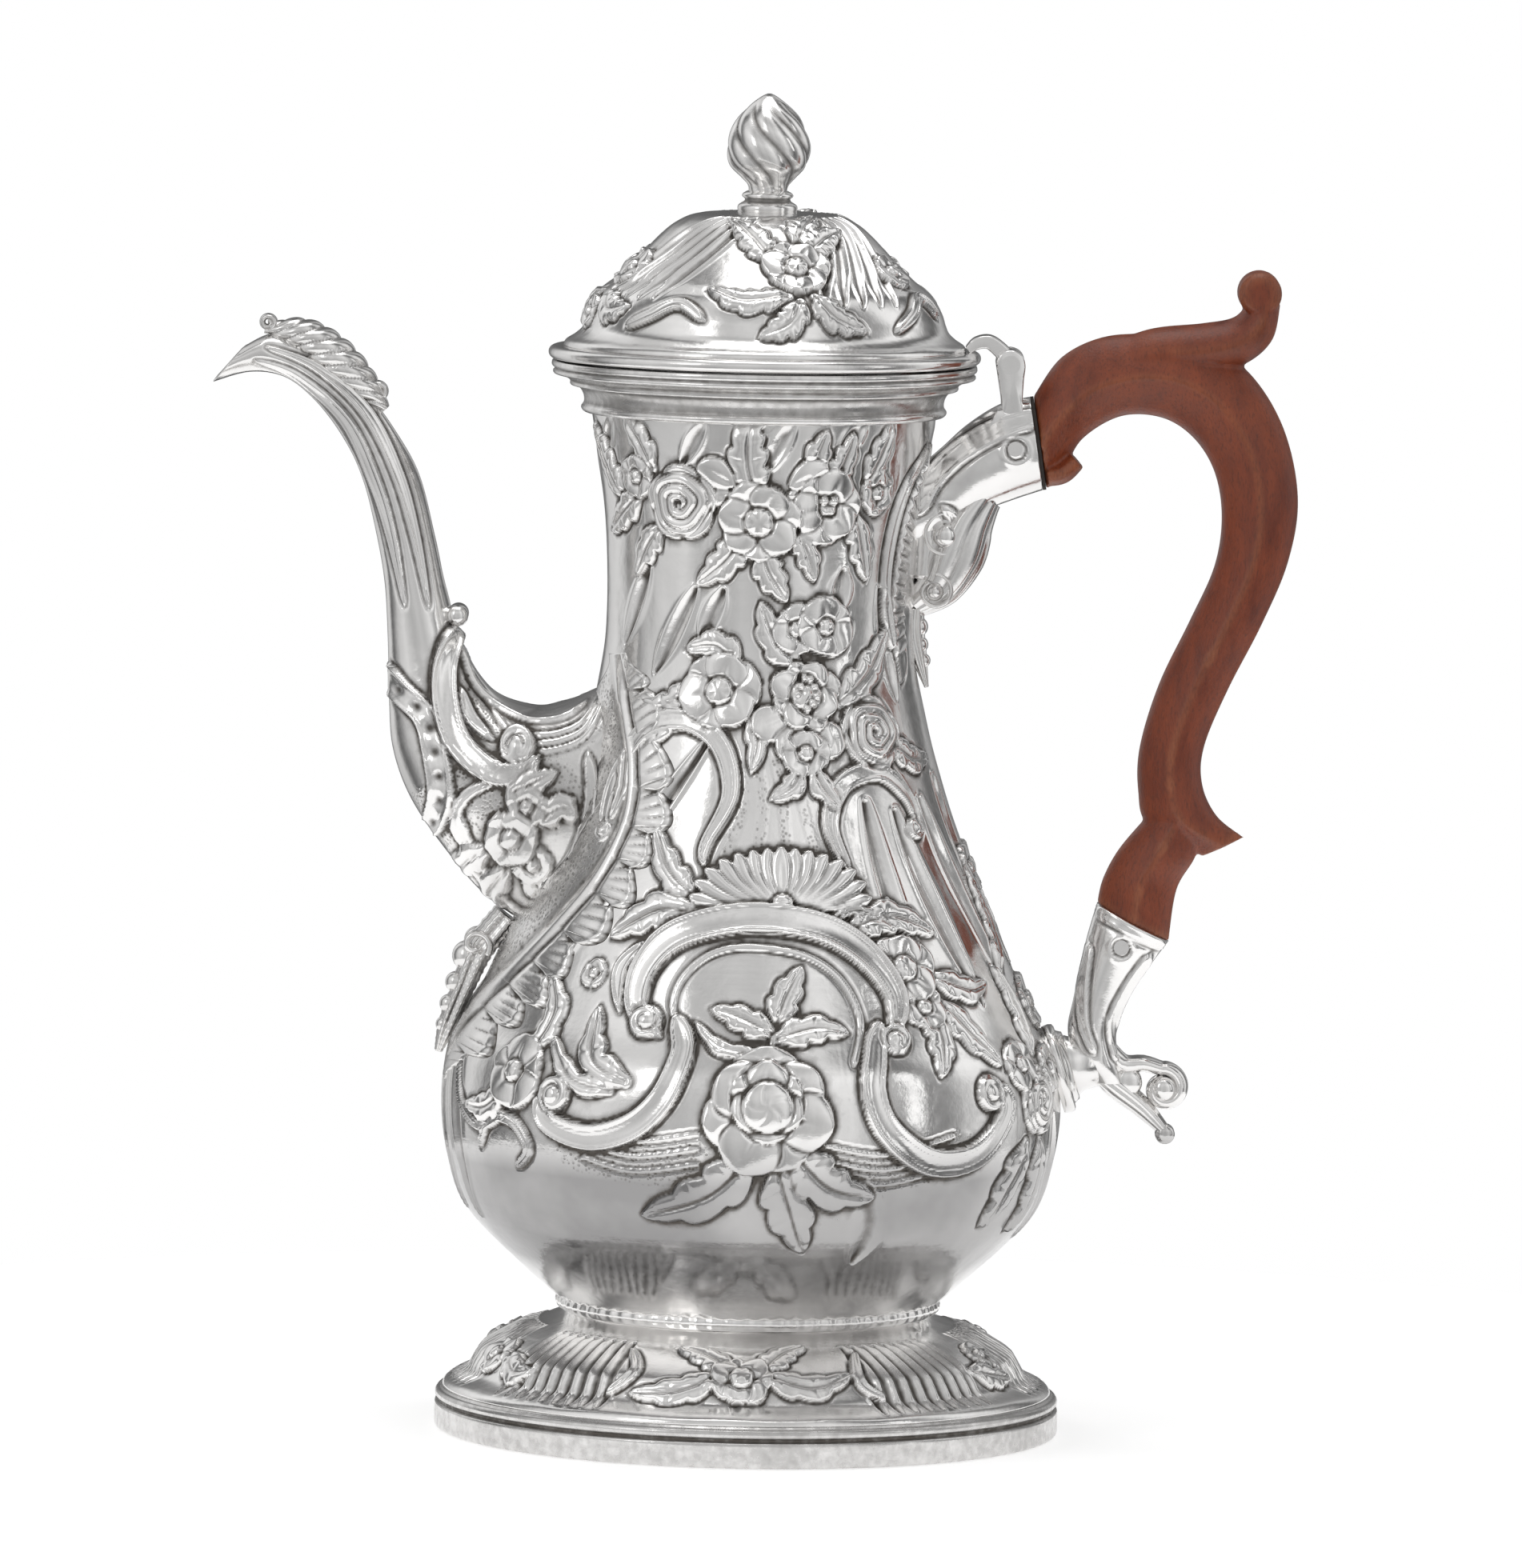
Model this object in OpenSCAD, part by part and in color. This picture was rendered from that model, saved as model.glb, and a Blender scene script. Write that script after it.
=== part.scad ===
// Silver baluster coffee pot on a spreading foot, with a hinged domed lid,
// a curved spout and a carved wooden handle held in two silver sockets.
// Millimetres. +Z up, +X to the handle, -X to the spout.
// Origin: centre of the ring that stands on the table.

/* [Overall sizes] */
// Height from the table to the tip of the finial
pot_height = 270; // [225:1:324]
// Widest diameter of the body
belly_diameter = 125; // [104:1:150]
// Diameter of the foot rim
foot_diameter = 126; // [105:1:151]
// Narrowest diameter of the body, half way up
neck_diameter = 62; // [52:1:74]
// Diameter of the lid's flange
mouth_diameter = 87; // [80:1:100]

/* [Sheet and castings] */
// Thickness of the raised silver sheet
wall = 0.9; // [0.7:0.05:1.4]
// Thickness of the foot's cast rim
rim_wall = 1.9; // [1.6:0.1:3]
// Wall of the cast spout
spout_wall = 1.2; // [1:0.1:1.6]
// Diameter of one strainer hole behind the spout
strainer_hole = 3; // [2:0.1:4]

/* [Lid and hinge] */
// Gap between the lid's flange and the mouth
lid_gap = 0.3; // [0.3:0.05:0.8]
// Radial gap between the lid's bezel and the mouth
bezel_gap = 0.7; // [0.5:0.05:1.2]
// How far the bezel reaches down into the mouth
bezel_depth = 6.6; // [4:0.1:7]
// Diameter of the hinge pin
hinge_pin_diameter = 2.4; // [2:0.1:2.8]
// Radial clearance of the lid's knuckle on the pin
hinge_clearance = 0.05; // [0.02:0.01:0.1]
// Width of the lid's knuckle
knuckle_width = 6; // [5:0.1:8]

/* [Handle] */
// Thickness of the wooden handle across the grip
grip_thickness = 15.5; // [13:0.5:18]
// Diameter of the two tenons that enter the sockets
tenon_diameter = 11; // [9.2:0.1:13.2]
// Length of the two tenons
tenon_length = 10; // [8:0.1:12]
// Diameter of the pins that hold the tenons
pin_diameter = 3; // [2.5:0.1:3.6]

/* [Hidden] */
$fn = 48;
// The pot is drawn 270 high and 125 wide, then stretched by these two.
tall = pot_height / 270;
wide = belly_diameter / 125;
belly_r = belly_diameter / 2;
foot_r = foot_diameter / 2;
neck_r = neck_diameter / 2;
mouth_r = mouth_diameter / 2;
slip = 0.02;

base_z = 25 * tall;
base_r = 36.5 * wide;
shoulder_z = 66 * tall;
neck_z = 168 * tall;
body_top = 207 * tall;
body_top_r = neck_r + 3.9;
rim_z = 8.2 * tall;

lip_z = 215.9 * tall;
lip_r = mouth_r - 0.8;
bore_r = body_top_r + 0.4;
flange_z = lip_z + lid_gap;
flange_thick = 2.6;
bezel_r = bore_r - bezel_gap;
dome_z = flange_z + flange_thick;
dome_top = 246.4 * tall;

knuckle_r = 2.95;
hinge_x = mouth_r + 5.9;
hinge_z = lip_z + 0.8;
leaf_r = hinge_pin_diameter / 2 + hinge_clearance;

grip = grip_thickness / 2;
upper_seat = [handle_x(54.9, 200.6), 200.6 * tall];
upper_lean = 9;
lower_seat = [76.3 * wide, 104.3 * tall];
lower_lean = 62.5;
upper_pin = [handle_x(50.6, 199.9), 199.9 * tall];
lower_pin = lower_seat - 5.2 * [cos(lower_lean), sin(lower_lean)];
seam = 0.8;

// Points on a smooth open curve through p, with n steps between neighbours.
// A point may carry more than two values: all of them are smoothed alike.
function curve(p, n = 4) = concat(
    [for (i = [0:len(p) - 2]) for (k = [0:n - 1]) between(
        p[max(i - 1, 0)], p[i], p[i + 1], p[min(i + 2, len(p) - 1)], k / n)],
    [p[len(p) - 1]]
);
function between(a, b, c, d, t) =
    b + t * (c - a) / 2
    + t * t * (2 * a - 5 * b + 4 * c - d) / 2
    + t * t * t * (3 * b - a - 3 * c + d) / 2;

// The curve p moved sideways by d, to the left of its direction.
function beside(p, d) = [for (i = [0:len(p) - 1])
    let (
        t = p[min(i + 1, len(p) - 1)] - p[max(i - 1, 0)],
        n = [-t[1], t[0]] / norm([t[0], t[1]])
    )
    [p[i][0], p[i][1]] + d * n];
function reversed(p) = [for (i = [len(p) - 1:-1:0]) p[i]];
function spiral(centre, r0, r1, a0, a1, n) = [for (i = [0:n])
    let (a = a0 + (a1 - a0) * i / n, r = r0 + (r1 - r0) * i / n)
    centre + r * [cos(a), sin(a)]];

// Stations for a bar along a curve. Each curve point is [x, z, half height,
// half width, y]; each station is [outer x, outer z, inner x, inner z,
// half width, outer y, inner y], and the two y may be left out.
function bar(p) = let (
    outer = beside_by(p, 1),
    inner = beside_by(p, -1)
) [for (i = [0:len(p) - 1])
    [outer[i][0], outer[i][1], inner[i][0], inner[i][1], p[i][3], y_of(p[i][4]), y_of(p[i][4])]];
function beside_by(p, side) = [for (i = [0:len(p) - 1])
    let (
        t = p[min(i + 1, len(p) - 1)] - p[max(i - 1, 0)],
        n = [-t[1], t[0]] / norm([t[0], t[1]])
    )
    [p[i][0], p[i][1]] + side * p[i][2] * n];
function y_of(y) = is_undef(y) ? 0 : y;

// On the handle's side the foot follows the belly, and the top follows the
// mouth, where the hinge is.
function handle_x(x, z) = let (t = max(0, min(1, (z - 104) / 90)))
    (1 - t) * x * wide + t * (x - 43.5 + mouth_r);
function handle_fitted(p) = [for (s = p)
    [handle_x(s[0], s[1]), s[1] * tall, handle_x(s[2], s[3]), s[3] * tall, s[4]]];
// Stations drawn against the neck, moved out or in with it.
function on_neck(p) = [for (s = p)
    [s[0] - 31 + neck_r, s[1] * tall, s[2], s[3], y_of(s[4])]];
// Stations stretched with the pot, their other values kept.
function fitted(p) = [for (s = p)
    [s[0] * wide, s[1] * tall, s[2] * wide, s[3] * tall, s[4]]];
function placed(p) = [for (s = p)
    [s[0] * wide, s[1] * tall, s[2], s[3], y_of(s[4])]];

// A closed skin over rings of the same number of points.
module rings_skin(rings) {
    last = len(rings) - 1;
    sides = len(rings[0]);
    start = [for (k = [sides - 1:-1:0]) k];
    end = [for (k = [0:sides - 1]) last * sides + k];
    walls = [for (i = [0:last - 1]) for (k = [0:sides - 1])
        let (
            a = i * sides + k,
            b = i * sides + (k + 1) % sides
        )
        each [[a, b, a + sides], [b, b + sides, a + sides]]];
    polyhedron([for (r = rings) each r], concat([start, end], walls), convexity = 6);
}

// Skin over stations, the outer edge to the left of the way along. The
// section is an oval for sharp = 1 and has an edge along each side for 2.
module skin(stations, sharp = 1, sides = 16) {
    rings_skin([for (s = stations) [for (k = [0:sides - 1])
        let (
            a = 360 * k / sides,
            u = sign(cos(a)) * pow(abs(cos(a)), sharp),
            mid = [s[0] + s[2], y_of(s[5]) + y_of(s[6]), s[1] + s[3]] / 2,
            reach = [s[0] - s[2], y_of(s[5]) - y_of(s[6]), s[1] - s[3]] / 2
        )
        mid + u * reach + [0, sin(a) * s[4], 0]]]);
}

module both_sides() {
    children();
    mirror([0, 1, 0])
        children();
}

// A straight cylinder along Y, centred on the XZ point.
module across(point, r, width) {
    translate([point[0], 0, point[1]])
        rotate([90, 0, 0])
            cylinder(r = r, h = width, center = true);
}

module ball(x, y, z, r) {
    translate([x, y, z])
        sphere(r = r, $fn = 24);
}

// Outside of the body, from its flat base up to the mouth.
body_line = curve([
    [base_r, base_z],
    [44.6 * wide, 32 * tall],
    [57 * wide, 44.5 * tall],
    [61.2 * wide, 55.5 * tall],
    [belly_r, shoulder_z],
    [61 * wide, 77 * tall],
    [56.3 * wide, 85.5 * tall],
    [49.8 * wide, 100 * tall],
    [41.5 * wide, 119.5 * tall],
    [(neck_r + 4.2 * wide), 139 * tall],
    [(neck_r + 0.6 * wide), 155 * tall],
    [neck_r, neck_z],
    [(neck_r + 0.5 * wide), 184 * tall],
    [(neck_r + 2.1 * wide), 197 * tall],
    [body_top_r, body_top]
], 3);

function body_radius(z) = lookup(z, [for (p = body_line) [p[1], p[0]]]);

module body_solid() {
    rotate_extrude($fn = 96)
        polygon(concat([[0, base_z]], body_line, [[0, body_top]]));
}

// The body with a layer laid on it.
module layered_body(thick) {
    rotate_extrude($fn = 96)
        polygon(concat(
            [[0, base_z]], beside(body_line, -thick), [[0, body_top]]));
}

module body_shell() {
    inside = beside(body_line, wall);
    floor_z = base_z + wall;
    kept = [for (p = inside) if (p[1] > floor_z + 0.5) p];
    color("silver")
        difference() {
            rotate_extrude($fn = 96)
                polygon(concat(
                    [[0, base_z]], body_line,
                    [[body_top_r - wall, body_top]], reversed(kept),
                    [[base_r - wall, floor_z], [0, floor_z]]));
            strainer();
        }
}

// Rows of holes that let the coffee through to the spout.
module strainer() {
    pitch = 6.5;
    for (row = [-2:2])
        for (place = [0:3 - abs(row)])
            translate([-60 * wide, (place - (3 - abs(row)) / 2) * pitch, 128 * tall + row * pitch])
                rotate([0, 90, 0])
                    cylinder(d = strainer_hole, h = 60 * wide - 20, $fn = 24);
}

module mouth_moulding() {
    outside = curve([
        [body_top_r + 1.2, body_top - 1.6],
        [body_top_r + 1.6, body_top + 1.2],
        [body_top_r + 4.2, body_top + 3.9],
        [body_top_r + 5.4, body_top + 6.2],
        [lip_r, lip_z - 1.6],
        [lip_r, lip_z]
    ], 3);
    color("silver")
        difference() {
            rotate_extrude($fn = 96)
                polygon(concat(
                    outside,
                    [[bore_r, lip_z], [bore_r, body_top],
                     [body_top_r - 1.2, body_top], [body_top_r - 1.2, body_top - 1.6]]));
            body_solid();
        }
}

foot_line = curve([
    [foot_r - 1.6, rim_z],
    [foot_r - 7.4, 12.4 * tall],
    [foot_r - 10, 16 * tall],
    [foot_r - 16, 19.4 * tall],
    [base_r + 3.4, 22.4 * tall],
    [base_r, base_z]
], 4);

module foot() {
    inside = beside(foot_line, wall + 0.1);
    kept = [for (p = inside) if (p[1] > rim_z && p[1] < base_z) p];
    color("silver")
        rotate_extrude($fn = 96)
            polygon(concat(
                foot_line, [[base_r - 2, base_z]], reversed(kept),
                [[foot_r - 1.6 - wall, rim_z]]));
}

module foot_rim() {
    color("silver")
        rotate_extrude($fn = 96)
            polygon([
                [foot_r - rim_wall, 0], [foot_r, 0],
                [foot_r, rim_z - 0.9], [foot_r - 0.9, rim_z],
                [foot_r - 1.6 - wall - 1, rim_z],
                [foot_r - 1.6 - wall - 1, rim_z - 1.4],
                [foot_r - rim_wall, rim_z - 1.4]]);
}

module foot_collar() {
    color("silver")
        difference() {
            translate([0, 0, base_z + 0.8])
                rotate_extrude($fn = 96)
                    translate([base_r + 0.6, 0])
                        circle(r = 1.7, $fn = 24);
            body_solid();
            rotate_extrude($fn = 96)
                polygon(concat([[0, 0]], [[foot_r, 0]], foot_line, [[0, base_z]]));
        }
}

// The spout: upper edge x, z; lower edge x, z; half width.
spout_outside = curve(fitted([
    [-104.3, 217.6, -110.8, 210.1, 5.2],
    [-98.5, 220, -103.4, 212.2, 4.8],
    [-91.5, 217.2, -96.6, 211.3, 4.4],
    [-84.4, 212.4, -90.4, 206.8, 4.6],
    [-76.8, 204.8, -84.6, 199.4, 5.3],
    [-69.6, 193.2, -80.6, 191.5, 5.9],
    [-65.6, 179.6, -77.6, 180.4, 6.3],
    [-63, 168, -75.6, 169, 6.6],
    [-59.6, 157.6, -74.8, 157.6, 7.4],
    [-53.5, 149, -74.4, 147, 9.4],
    [-44.5, 146, -73.6, 137, 12.4],
    [-37, 147.6, -70, 127.2, 15.6],
    [-31.5, 150, -62.5, 116.4, 18.2],
    [-25, 151, -53.4, 106.6, 19],
    [-14, 151, -42, 100, 19]
]), 2);

// The channel runs on past both ends of the spout.
function channel(p) = let (
    thin = [for (s = p)
        let (
            reach = [s[0] - s[2], s[1] - s[3]] / 2,
            keep = 1 - spout_wall / norm(reach),
            mid = [s[0] + s[2], s[1] + s[3]] / 2
        )
        [mid[0] + keep * reach[0], mid[1] + keep * reach[1],
         mid[0] - keep * reach[0], mid[1] - keep * reach[1], s[4] - spout_wall]],
    ahead = 2 * thin[0] - thin[1]
) concat([[ahead[0], ahead[1], ahead[2], ahead[3], thin[0][4]]], thin);

module spout() {
    color("silver")
        difference() {
            skin(spout_outside, sides = 20);
            skin(channel(spout_outside), sides = 20);
            body_solid();
        }
}

// Gadrooned crest over the spout's tip, curled at its lower end.
module spout_crest() {
    flutes = 9;
    line = curve(placed([
        [-99.4, 221],
        [-93, 219.6],
        [-86.4, 215.4],
        [-80.4, 209.6],
        [-76.4, 205]
    ]), 9);
    ridged = [for (i = [0:len(line) - 1])
        let (
            t = i / (len(line) - 1),
            swell = sin(180 * t),
            groove = 0.35 * cos(360 * flutes * t)
        )
        [line[i][0], line[i][1], 1.1 + 2.5 * swell + groove, 2 + 2.4 * swell + groove]];
    color("silver")
        difference() {
            union() {
                skin(bar(ridged), sides = 10);
                across([-76.8 * wide, 208.4 * tall], 2.4, 5);
            }
            skin(spout_outside, sides = 20);
        }
}

// Knob and C-scroll on each side of the spout's throat.
module spout_scroll() {
    path = curve(placed([
        [-61, 164, 1.7, 1.6, 5],
        [-62.2, 154, 1.6, 1.8, 8.2],
        [-60.6, 144, 1.7, 2, 11.2],
        [-55.2, 135.2, 1.8, 2.2, 14.4],
        [-49, 133.4, 1.8, 2.2, 16.6],
        [-46, 137.4, 1.6, 2.2, 16.2],
        [-48.4, 140.6, 1.5, 2.2, 15.2]
    ]), 3);
    color("silver")
        difference() {
            union() {
                both_sides()
                    skin(bar(path), sides = 8);
                across([-60.6 * wide, 164.6 * tall], 2.6, 12);
            }
            skin(spout_outside, sides = 20);
        }
}

// Dimpled strip that frames the smooth swelling at the front of the spout.
module spout_collar() {
    path = curve(placed([
        [-76.4, 154.6, 1.2, 1.5, 0],
        [-74.4, 151, 1.7, 1.5, 6.6],
        [-68.6, 146, 1.9, 1.6, 10],
        [-64.8, 138, 2, 1.7, 12.4],
        [-63, 129.4, 2, 1.7, 13.4],
        [-65.4, 122, 1.8, 1.6, 8.4],
        [-68.6, 118.8, 1.4, 1.5, 0]
    ]), 3);
    color("silver")
        difference() {
            both_sides()
                skin(bar(path), sides = 8);
            skin(spout_outside, sides = 20);
        }
}

// Scalloped shell frill on the body where the spout joins it. It is drawn
// as seen from the side and kept where it lies on the body.
frill_thick = 1.1;
frill_edge = curve([for (p = [
    [-27.6, 158], [-25, 148], [-23.2, 137], [-24, 126], [-29.6, 114],
    [-38.2, 103], [-46.6, 93.6], [-54.4, 85], [-60.4, 77], [-62.6, 71]
]) [p[0] * wide, p[1] * tall]], 10);

module spout_frill() {
    scallops = 14;
    deep = 3;
    last = len(frill_edge) - 1;
    outer = [for (i = [0:last])
        let (
            t = frill_edge[min(i + 1, last)] - frill_edge[max(i - 1, 0)],
            bump = deep * abs(sin(180 * scallops * i / last))
        )
        frill_edge[i] + bump * [-t[1], t[0]] / norm(t)];
    color("silver")
        difference() {
            intersection() {
                layered_body(frill_thick);
                rotate([90, 0, 0])
                    linear_extrude(belly_diameter, center = true)
                        polygon(concat(
                            outer,
                            [[-70 * wide, 74 * tall], [-56 * wide, 96 * tall],
                             [-36 * wide, 158 * tall]]));
            }
            body_solid();
            skin(spout_outside, sides = 20);
        }
}

// Ball and beads below the spout.
module spout_drop() {
    leaf = curve(placed([
        [-52, 102.4, 2.4, 3.4],
        [-55.4, 95.4, 2.6, 3.6],
        [-58.6, 88, 2, 3],
        [-62, 81, 1.7, 2.2],
        [-64, 75.5, 0.8, 0.9]
    ]), 3);
    color("silver")
        difference() {
            union() {
                skin(bar(leaf), sides = 10);
                ball(-57.6 * wide, 0, 95 * tall, 3.2);
                ball(-60 * wide, 0, 87.8 * tall, 2.4);
                ball(-62 * wide, 0, 82 * tall, 2.2);
            }
            layered_body(frill_thick);
            skin(spout_outside, sides = 20);
        }
}

// Wooden handle. Each end is cut square to its tenon.
function seat_edge(seat, lean, half) = seat + half * [-sin(lean), cos(lean)];
upper_half = 9.5 * tall;
lower_half = 8.2 * tall;
upper_face = upper_seat + seam * [cos(upper_lean), sin(upper_lean)];
upper_top = seat_edge(upper_face, upper_lean, upper_half);
upper_foot = seat_edge(upper_face, upper_lean, -upper_half);
lower_front = seat_edge(lower_seat, lower_lean, -lower_half);
lower_back = seat_edge(lower_seat, lower_lean, lower_half);

grip_line = curve(concat(
    [[upper_top[0], upper_top[1], upper_foot[0], upper_foot[1], grip + 0.6]],
    handle_fitted([
        [59.6, 218, 60.8, 196, grip + 0.4],
        [68, 222.3, 64.4, 201.9, grip],
        [78, 223, 71.9, 206.4, grip],
        [88, 221.6, 80.2, 206.2, grip],
        [97.5, 215.6, 86.6, 202.2, grip],
        [104.6, 204.6, 90.9, 195.4, grip],
        [107.8, 190.6, 92.5, 186.4, grip],
        [106.1, 177.7, 91.2, 176.4, grip],
        [101, 164.8, 86.4, 165.2, grip],
        [94.6, 151.8, 80.6, 152.6, grip - 0.3],
        [90, 140.2, 77, 140, grip - 0.5],
        [89.7, 132.5, 76.8, 131, grip - 0.6],
        [92.8, 126, 79, 123.8, grip - 1.2],
        [98.3, 121.8, 90, 117.8, 2.4]
    ])
), 3);
stub_line = curve(concat(
    handle_fitted([
        [90.8, 125, 78.6, 125.6, grip - 1.4],
        [88.6, 117.6, 73.2, 119, grip - 0.9],
        [85, 111, 70.1, 113, grip - 0.6]
    ]),
    [[lower_front[0], lower_front[1], lower_back[0], lower_back[1], grip - 0.4]]
), 3);
thumb_line = curve(handle_fitted([
    [66, 219.6, 68, 210, grip - 2.6],
    [77, 224, 79, 214, grip - 1.6],
    [87.7, 225.4, 89, 215, grip - 1.3],
    [93.8, 226.6, 97, 217.6, grip - 1.3],
    [96.3, 229, 102, 222.4, grip - 1.4],
    [97.6, 232.4, 103.4, 229.4, grip - 1.7]
]), 3);

// A tenon starts at a point on its axis and runs down into the socket.
module tenon(start, lean, length, gap = 0) {
    translate([start[0], 0, start[1]])
        rotate([0, -90 - lean, 0])
            cylinder(d = tenon_diameter + 2 * gap, h = length + gap);
}
module lower_tenon(gap = 0) {
    tenon(lower_seat, lower_lean, tenon_length, gap);
}
module upper_tenon(gap = 0) {
    tenon(upper_face, upper_lean, tenon_length + seam, gap);
}

module handle() {
    color("sienna")
        difference() {
            union() {
                skin(grip_line, 2);
                skin(stub_line, 2);
                skin(thumb_line, 1.4, 12);
                across([handle_x(99.2, 231.7), 231.7 * tall], 4.4, 2 * grip - 3.4);
                upper_tenon();
                lower_tenon();
            }
            across(upper_pin, pin_diameter / 2 + slip, 40);
            across(lower_pin, pin_diameter / 2 + slip, 40);
        }
}

// Dark cement line between the wood and the upper socket.
module cement_line() {
    top = seat_edge(upper_seat, upper_lean, upper_half);
    foot = seat_edge(upper_seat, upper_lean, -upper_half);
    color("black")
        difference() {
            skin([
                [upper_foot[0], upper_foot[1], upper_top[0], upper_top[1], grip + 0.5],
                [foot[0], foot[1], top[0], top[1], grip + 0.5]
            ]);
            upper_tenon(slip);
        }
}

upper_cup = curve(concat(
    [concat(
        seat_edge(upper_seat, upper_lean, -upper_half),
        seat_edge(upper_seat, upper_lean, upper_half),
        [grip + 0.7])],
    handle_fitted([
        [50.6, 189.2, 47.5, 208.4, grip + 0.5],
        [44.8, 186.8, 41, 204.2, grip - 0.5],
        [40, 183.5, 35.4, 199, grip - 1.9],
        [34, 180, 29.4, 194, grip - 2.4],
        [26, 178, 23, 190, grip - 2.6]
    ])
), 3);

module upper_socket() {
    color("silver")
        difference() {
            skin(upper_cup, sides = 20);
            body_solid();
            upper_tenon(slip);
            across(upper_pin, pin_diameter / 2 + slip, 40);
        }
}

module upper_pin() {
    color("silver")
        across(upper_pin, pin_diameter / 2, 2 * grip + 1.4);
}

// Ribbed C-scroll under the upper socket.
module ribbed_scroll() {
    ribs = 5;
    path = curve(on_neck([
        [47, 190],
        [43.6, 184.6],
        [41.4, 178],
        [37.8, 172],
        [31, 167.4]
    ]), 6);
    ribbed = [for (i = [0:len(path) - 1])
        let (
            t = i / (len(path) - 1),
            groove = 0.4 * cos(360 * ribs * t)
        )
        [path[i][0], path[i][1], 2.4 + 1.6 * sin(180 * t) + groove, 4.6 - 1.2 * t + groove]];
    skin(bar(ribbed), sides = 10);
}

module upper_socket_scroll() {
    color("silver")
        difference() {
            union() {
                ribbed_scroll();
                across([neck_r + 5.2, 182 * tall], 2.3, 8);
            }
            body_solid();
            skin(upper_cup, sides = 20);
        }
}

module upper_socket_drop() {
    leaf = curve(on_neck([
        [31.6, 167, 1.6, 3.4],
        [31, 162.4, 1.8, 2.8],
        [32, 157, 1.4, 2],
        [33.6, 151, 0.5, 0.6]
    ]), 3);
    color("silver")
        difference() {
            union() {
                skin(bar(leaf), sides = 10);
                ball(neck_r + 0.8, 0, 162.6 * tall, 2.2);
                ball(neck_r + 1.2, 0, 158.8 * tall, 1.9);
                ball(neck_r + 1.9, 0, 155.4 * tall, 1.6);
            }
            body_solid();
            ribbed_scroll();
        }
}

lower_cup = curve(concat(
    [concat(lower_front, lower_back, [grip - 0.2])],
    fitted([
        [80.6, 96.4, 67.2, 101.5, grip - 0.6],
        [77, 91.2, 65.8, 95, grip - 1.2],
        [74.6, 86, 64.6, 88.4, grip - 1.6],
        [73.4, 80.6, 63.6, 82.4, grip - 1.8],
        [74.8, 74.6, 65, 76, grip - 2.2],
        [75.4, 71.6, 68.6, 71.6, grip - 4]
    ])
), 3);

boss_lean = 16.7;
boss_z = 74.2 * tall;
boss_x = body_radius(boss_z);
boss_r = 9.2;

module on_boss() {
    translate([boss_x, 0, boss_z])
        rotate([0, 90 - boss_lean, 0])
            children();
}

// Round stem from the boss into the socket.
module stem() {
    on_boss()
        translate([0, 0, 2.8])
            cylinder(r = 5.8, h = 6.4);
}

module lower_socket() {
    color("silver")
        difference() {
            union() {
                skin(lower_cup, sides = 20);
                stem();
            }
            lower_tenon(slip);
            across(lower_pin, pin_diameter / 2 + slip, 40);
        }
}

module lower_pin() {
    color("silver")
        across(lower_pin, pin_diameter / 2, 2 * grip - 0.6);
}

// Stepped disc that spreads the handle's pull over the thin body.
module lower_socket_boss() {
    color("silver")
        difference() {
            on_boss() {
                translate([0, 0, -3])
                    cylinder(r = boss_r, h = 4.4);
                translate([0, 0, 1.4])
                    cylinder(r1 = 7.6, r2 = 6.8, h = 1.4);
            }
            body_solid();
        }
}

// Volute and tail below the lower socket.
module lower_socket_scroll() {
    volute = concat(
        placed([[70, 80.4, 2, 3.4], [74.6, 75.6, 2, 3.2], [79, 75.6, 1.7, 3]]),
        [for (p = spiral([83.2 * wide, 70.6 * tall], 4.2, 1.4, 100, -260, 12))
            [p[0], p[1], 1.1, 2.6]]);
    tail = placed([
        [70.4, 73, 1.6, 2.8],
        [73.6, 70.8, 2.2, 2.8],
        [78.8, 66.8, 1.9, 2.4],
        [83.2, 62.4, 1.2, 2]
    ]);
    color("silver")
        difference() {
            union() {
                skin(bar(curve(volute, 2)), sides = 8);
                across([83.2 * wide, 70.6 * tall], 2, 6.4);
                skin(bar(curve(tail, 3)), sides = 8);
                across([84 * wide, 60.8 * tall], 2.2, 4.4);
                across([76 * wide, 71.8 * tall], 2.8, 5);
            }
            skin(lower_cup, sides = 20);
            stem();
        }
}

// Two ears on the pot hold the hinge pin above the upper socket.
ear_gap = 0.3;
ear_width = 3;
ear_span = knuckle_width + 2 * (ear_gap + ear_width);

module hinge_bracket() {
    bar_z = 208.6 * tall;
    bar_x = mouth_r + 0.5;
    color("silver")
        difference() {
            union() {
                both_sides()
                    translate([0, ear_span / 2, 0])
                        rotate([90, 0, 0]) {
                            translate([hinge_x, hinge_z, 0])
                                cylinder(r = knuckle_r, h = ear_width);
                            linear_extrude(ear_width)
                                polygon([
                                    [hinge_x - knuckle_r, hinge_z],
                                    [hinge_x - 1.8, bar_z - 1],
                                    [hinge_x + 2.4, bar_z - 1],
                                    [hinge_x + knuckle_r, hinge_z]]);
                        }
                translate([bar_x, -ear_span / 2, bar_z - 6])
                    cube([hinge_x + 2.4 - bar_x, ear_span, 7]);
            }
            across([hinge_x, hinge_z], hinge_pin_diameter / 2 + slip, 40);
            skin(upper_cup, sides = 20);
            skin(grip_line, 2);
            cement_line();
            rotate_extrude($fn = 96)
                square([lip_r, lip_z]);
        }
}

module hinge_pin() {
    color("silver") {
        across([hinge_x, hinge_z], hinge_pin_diameter / 2, ear_span + 0.1);
        both_sides()
            translate([0, ear_span / 2 + 0.45, 0])
                across([hinge_x, hinge_z], 1.9, 0.8);
    }
}

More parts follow.
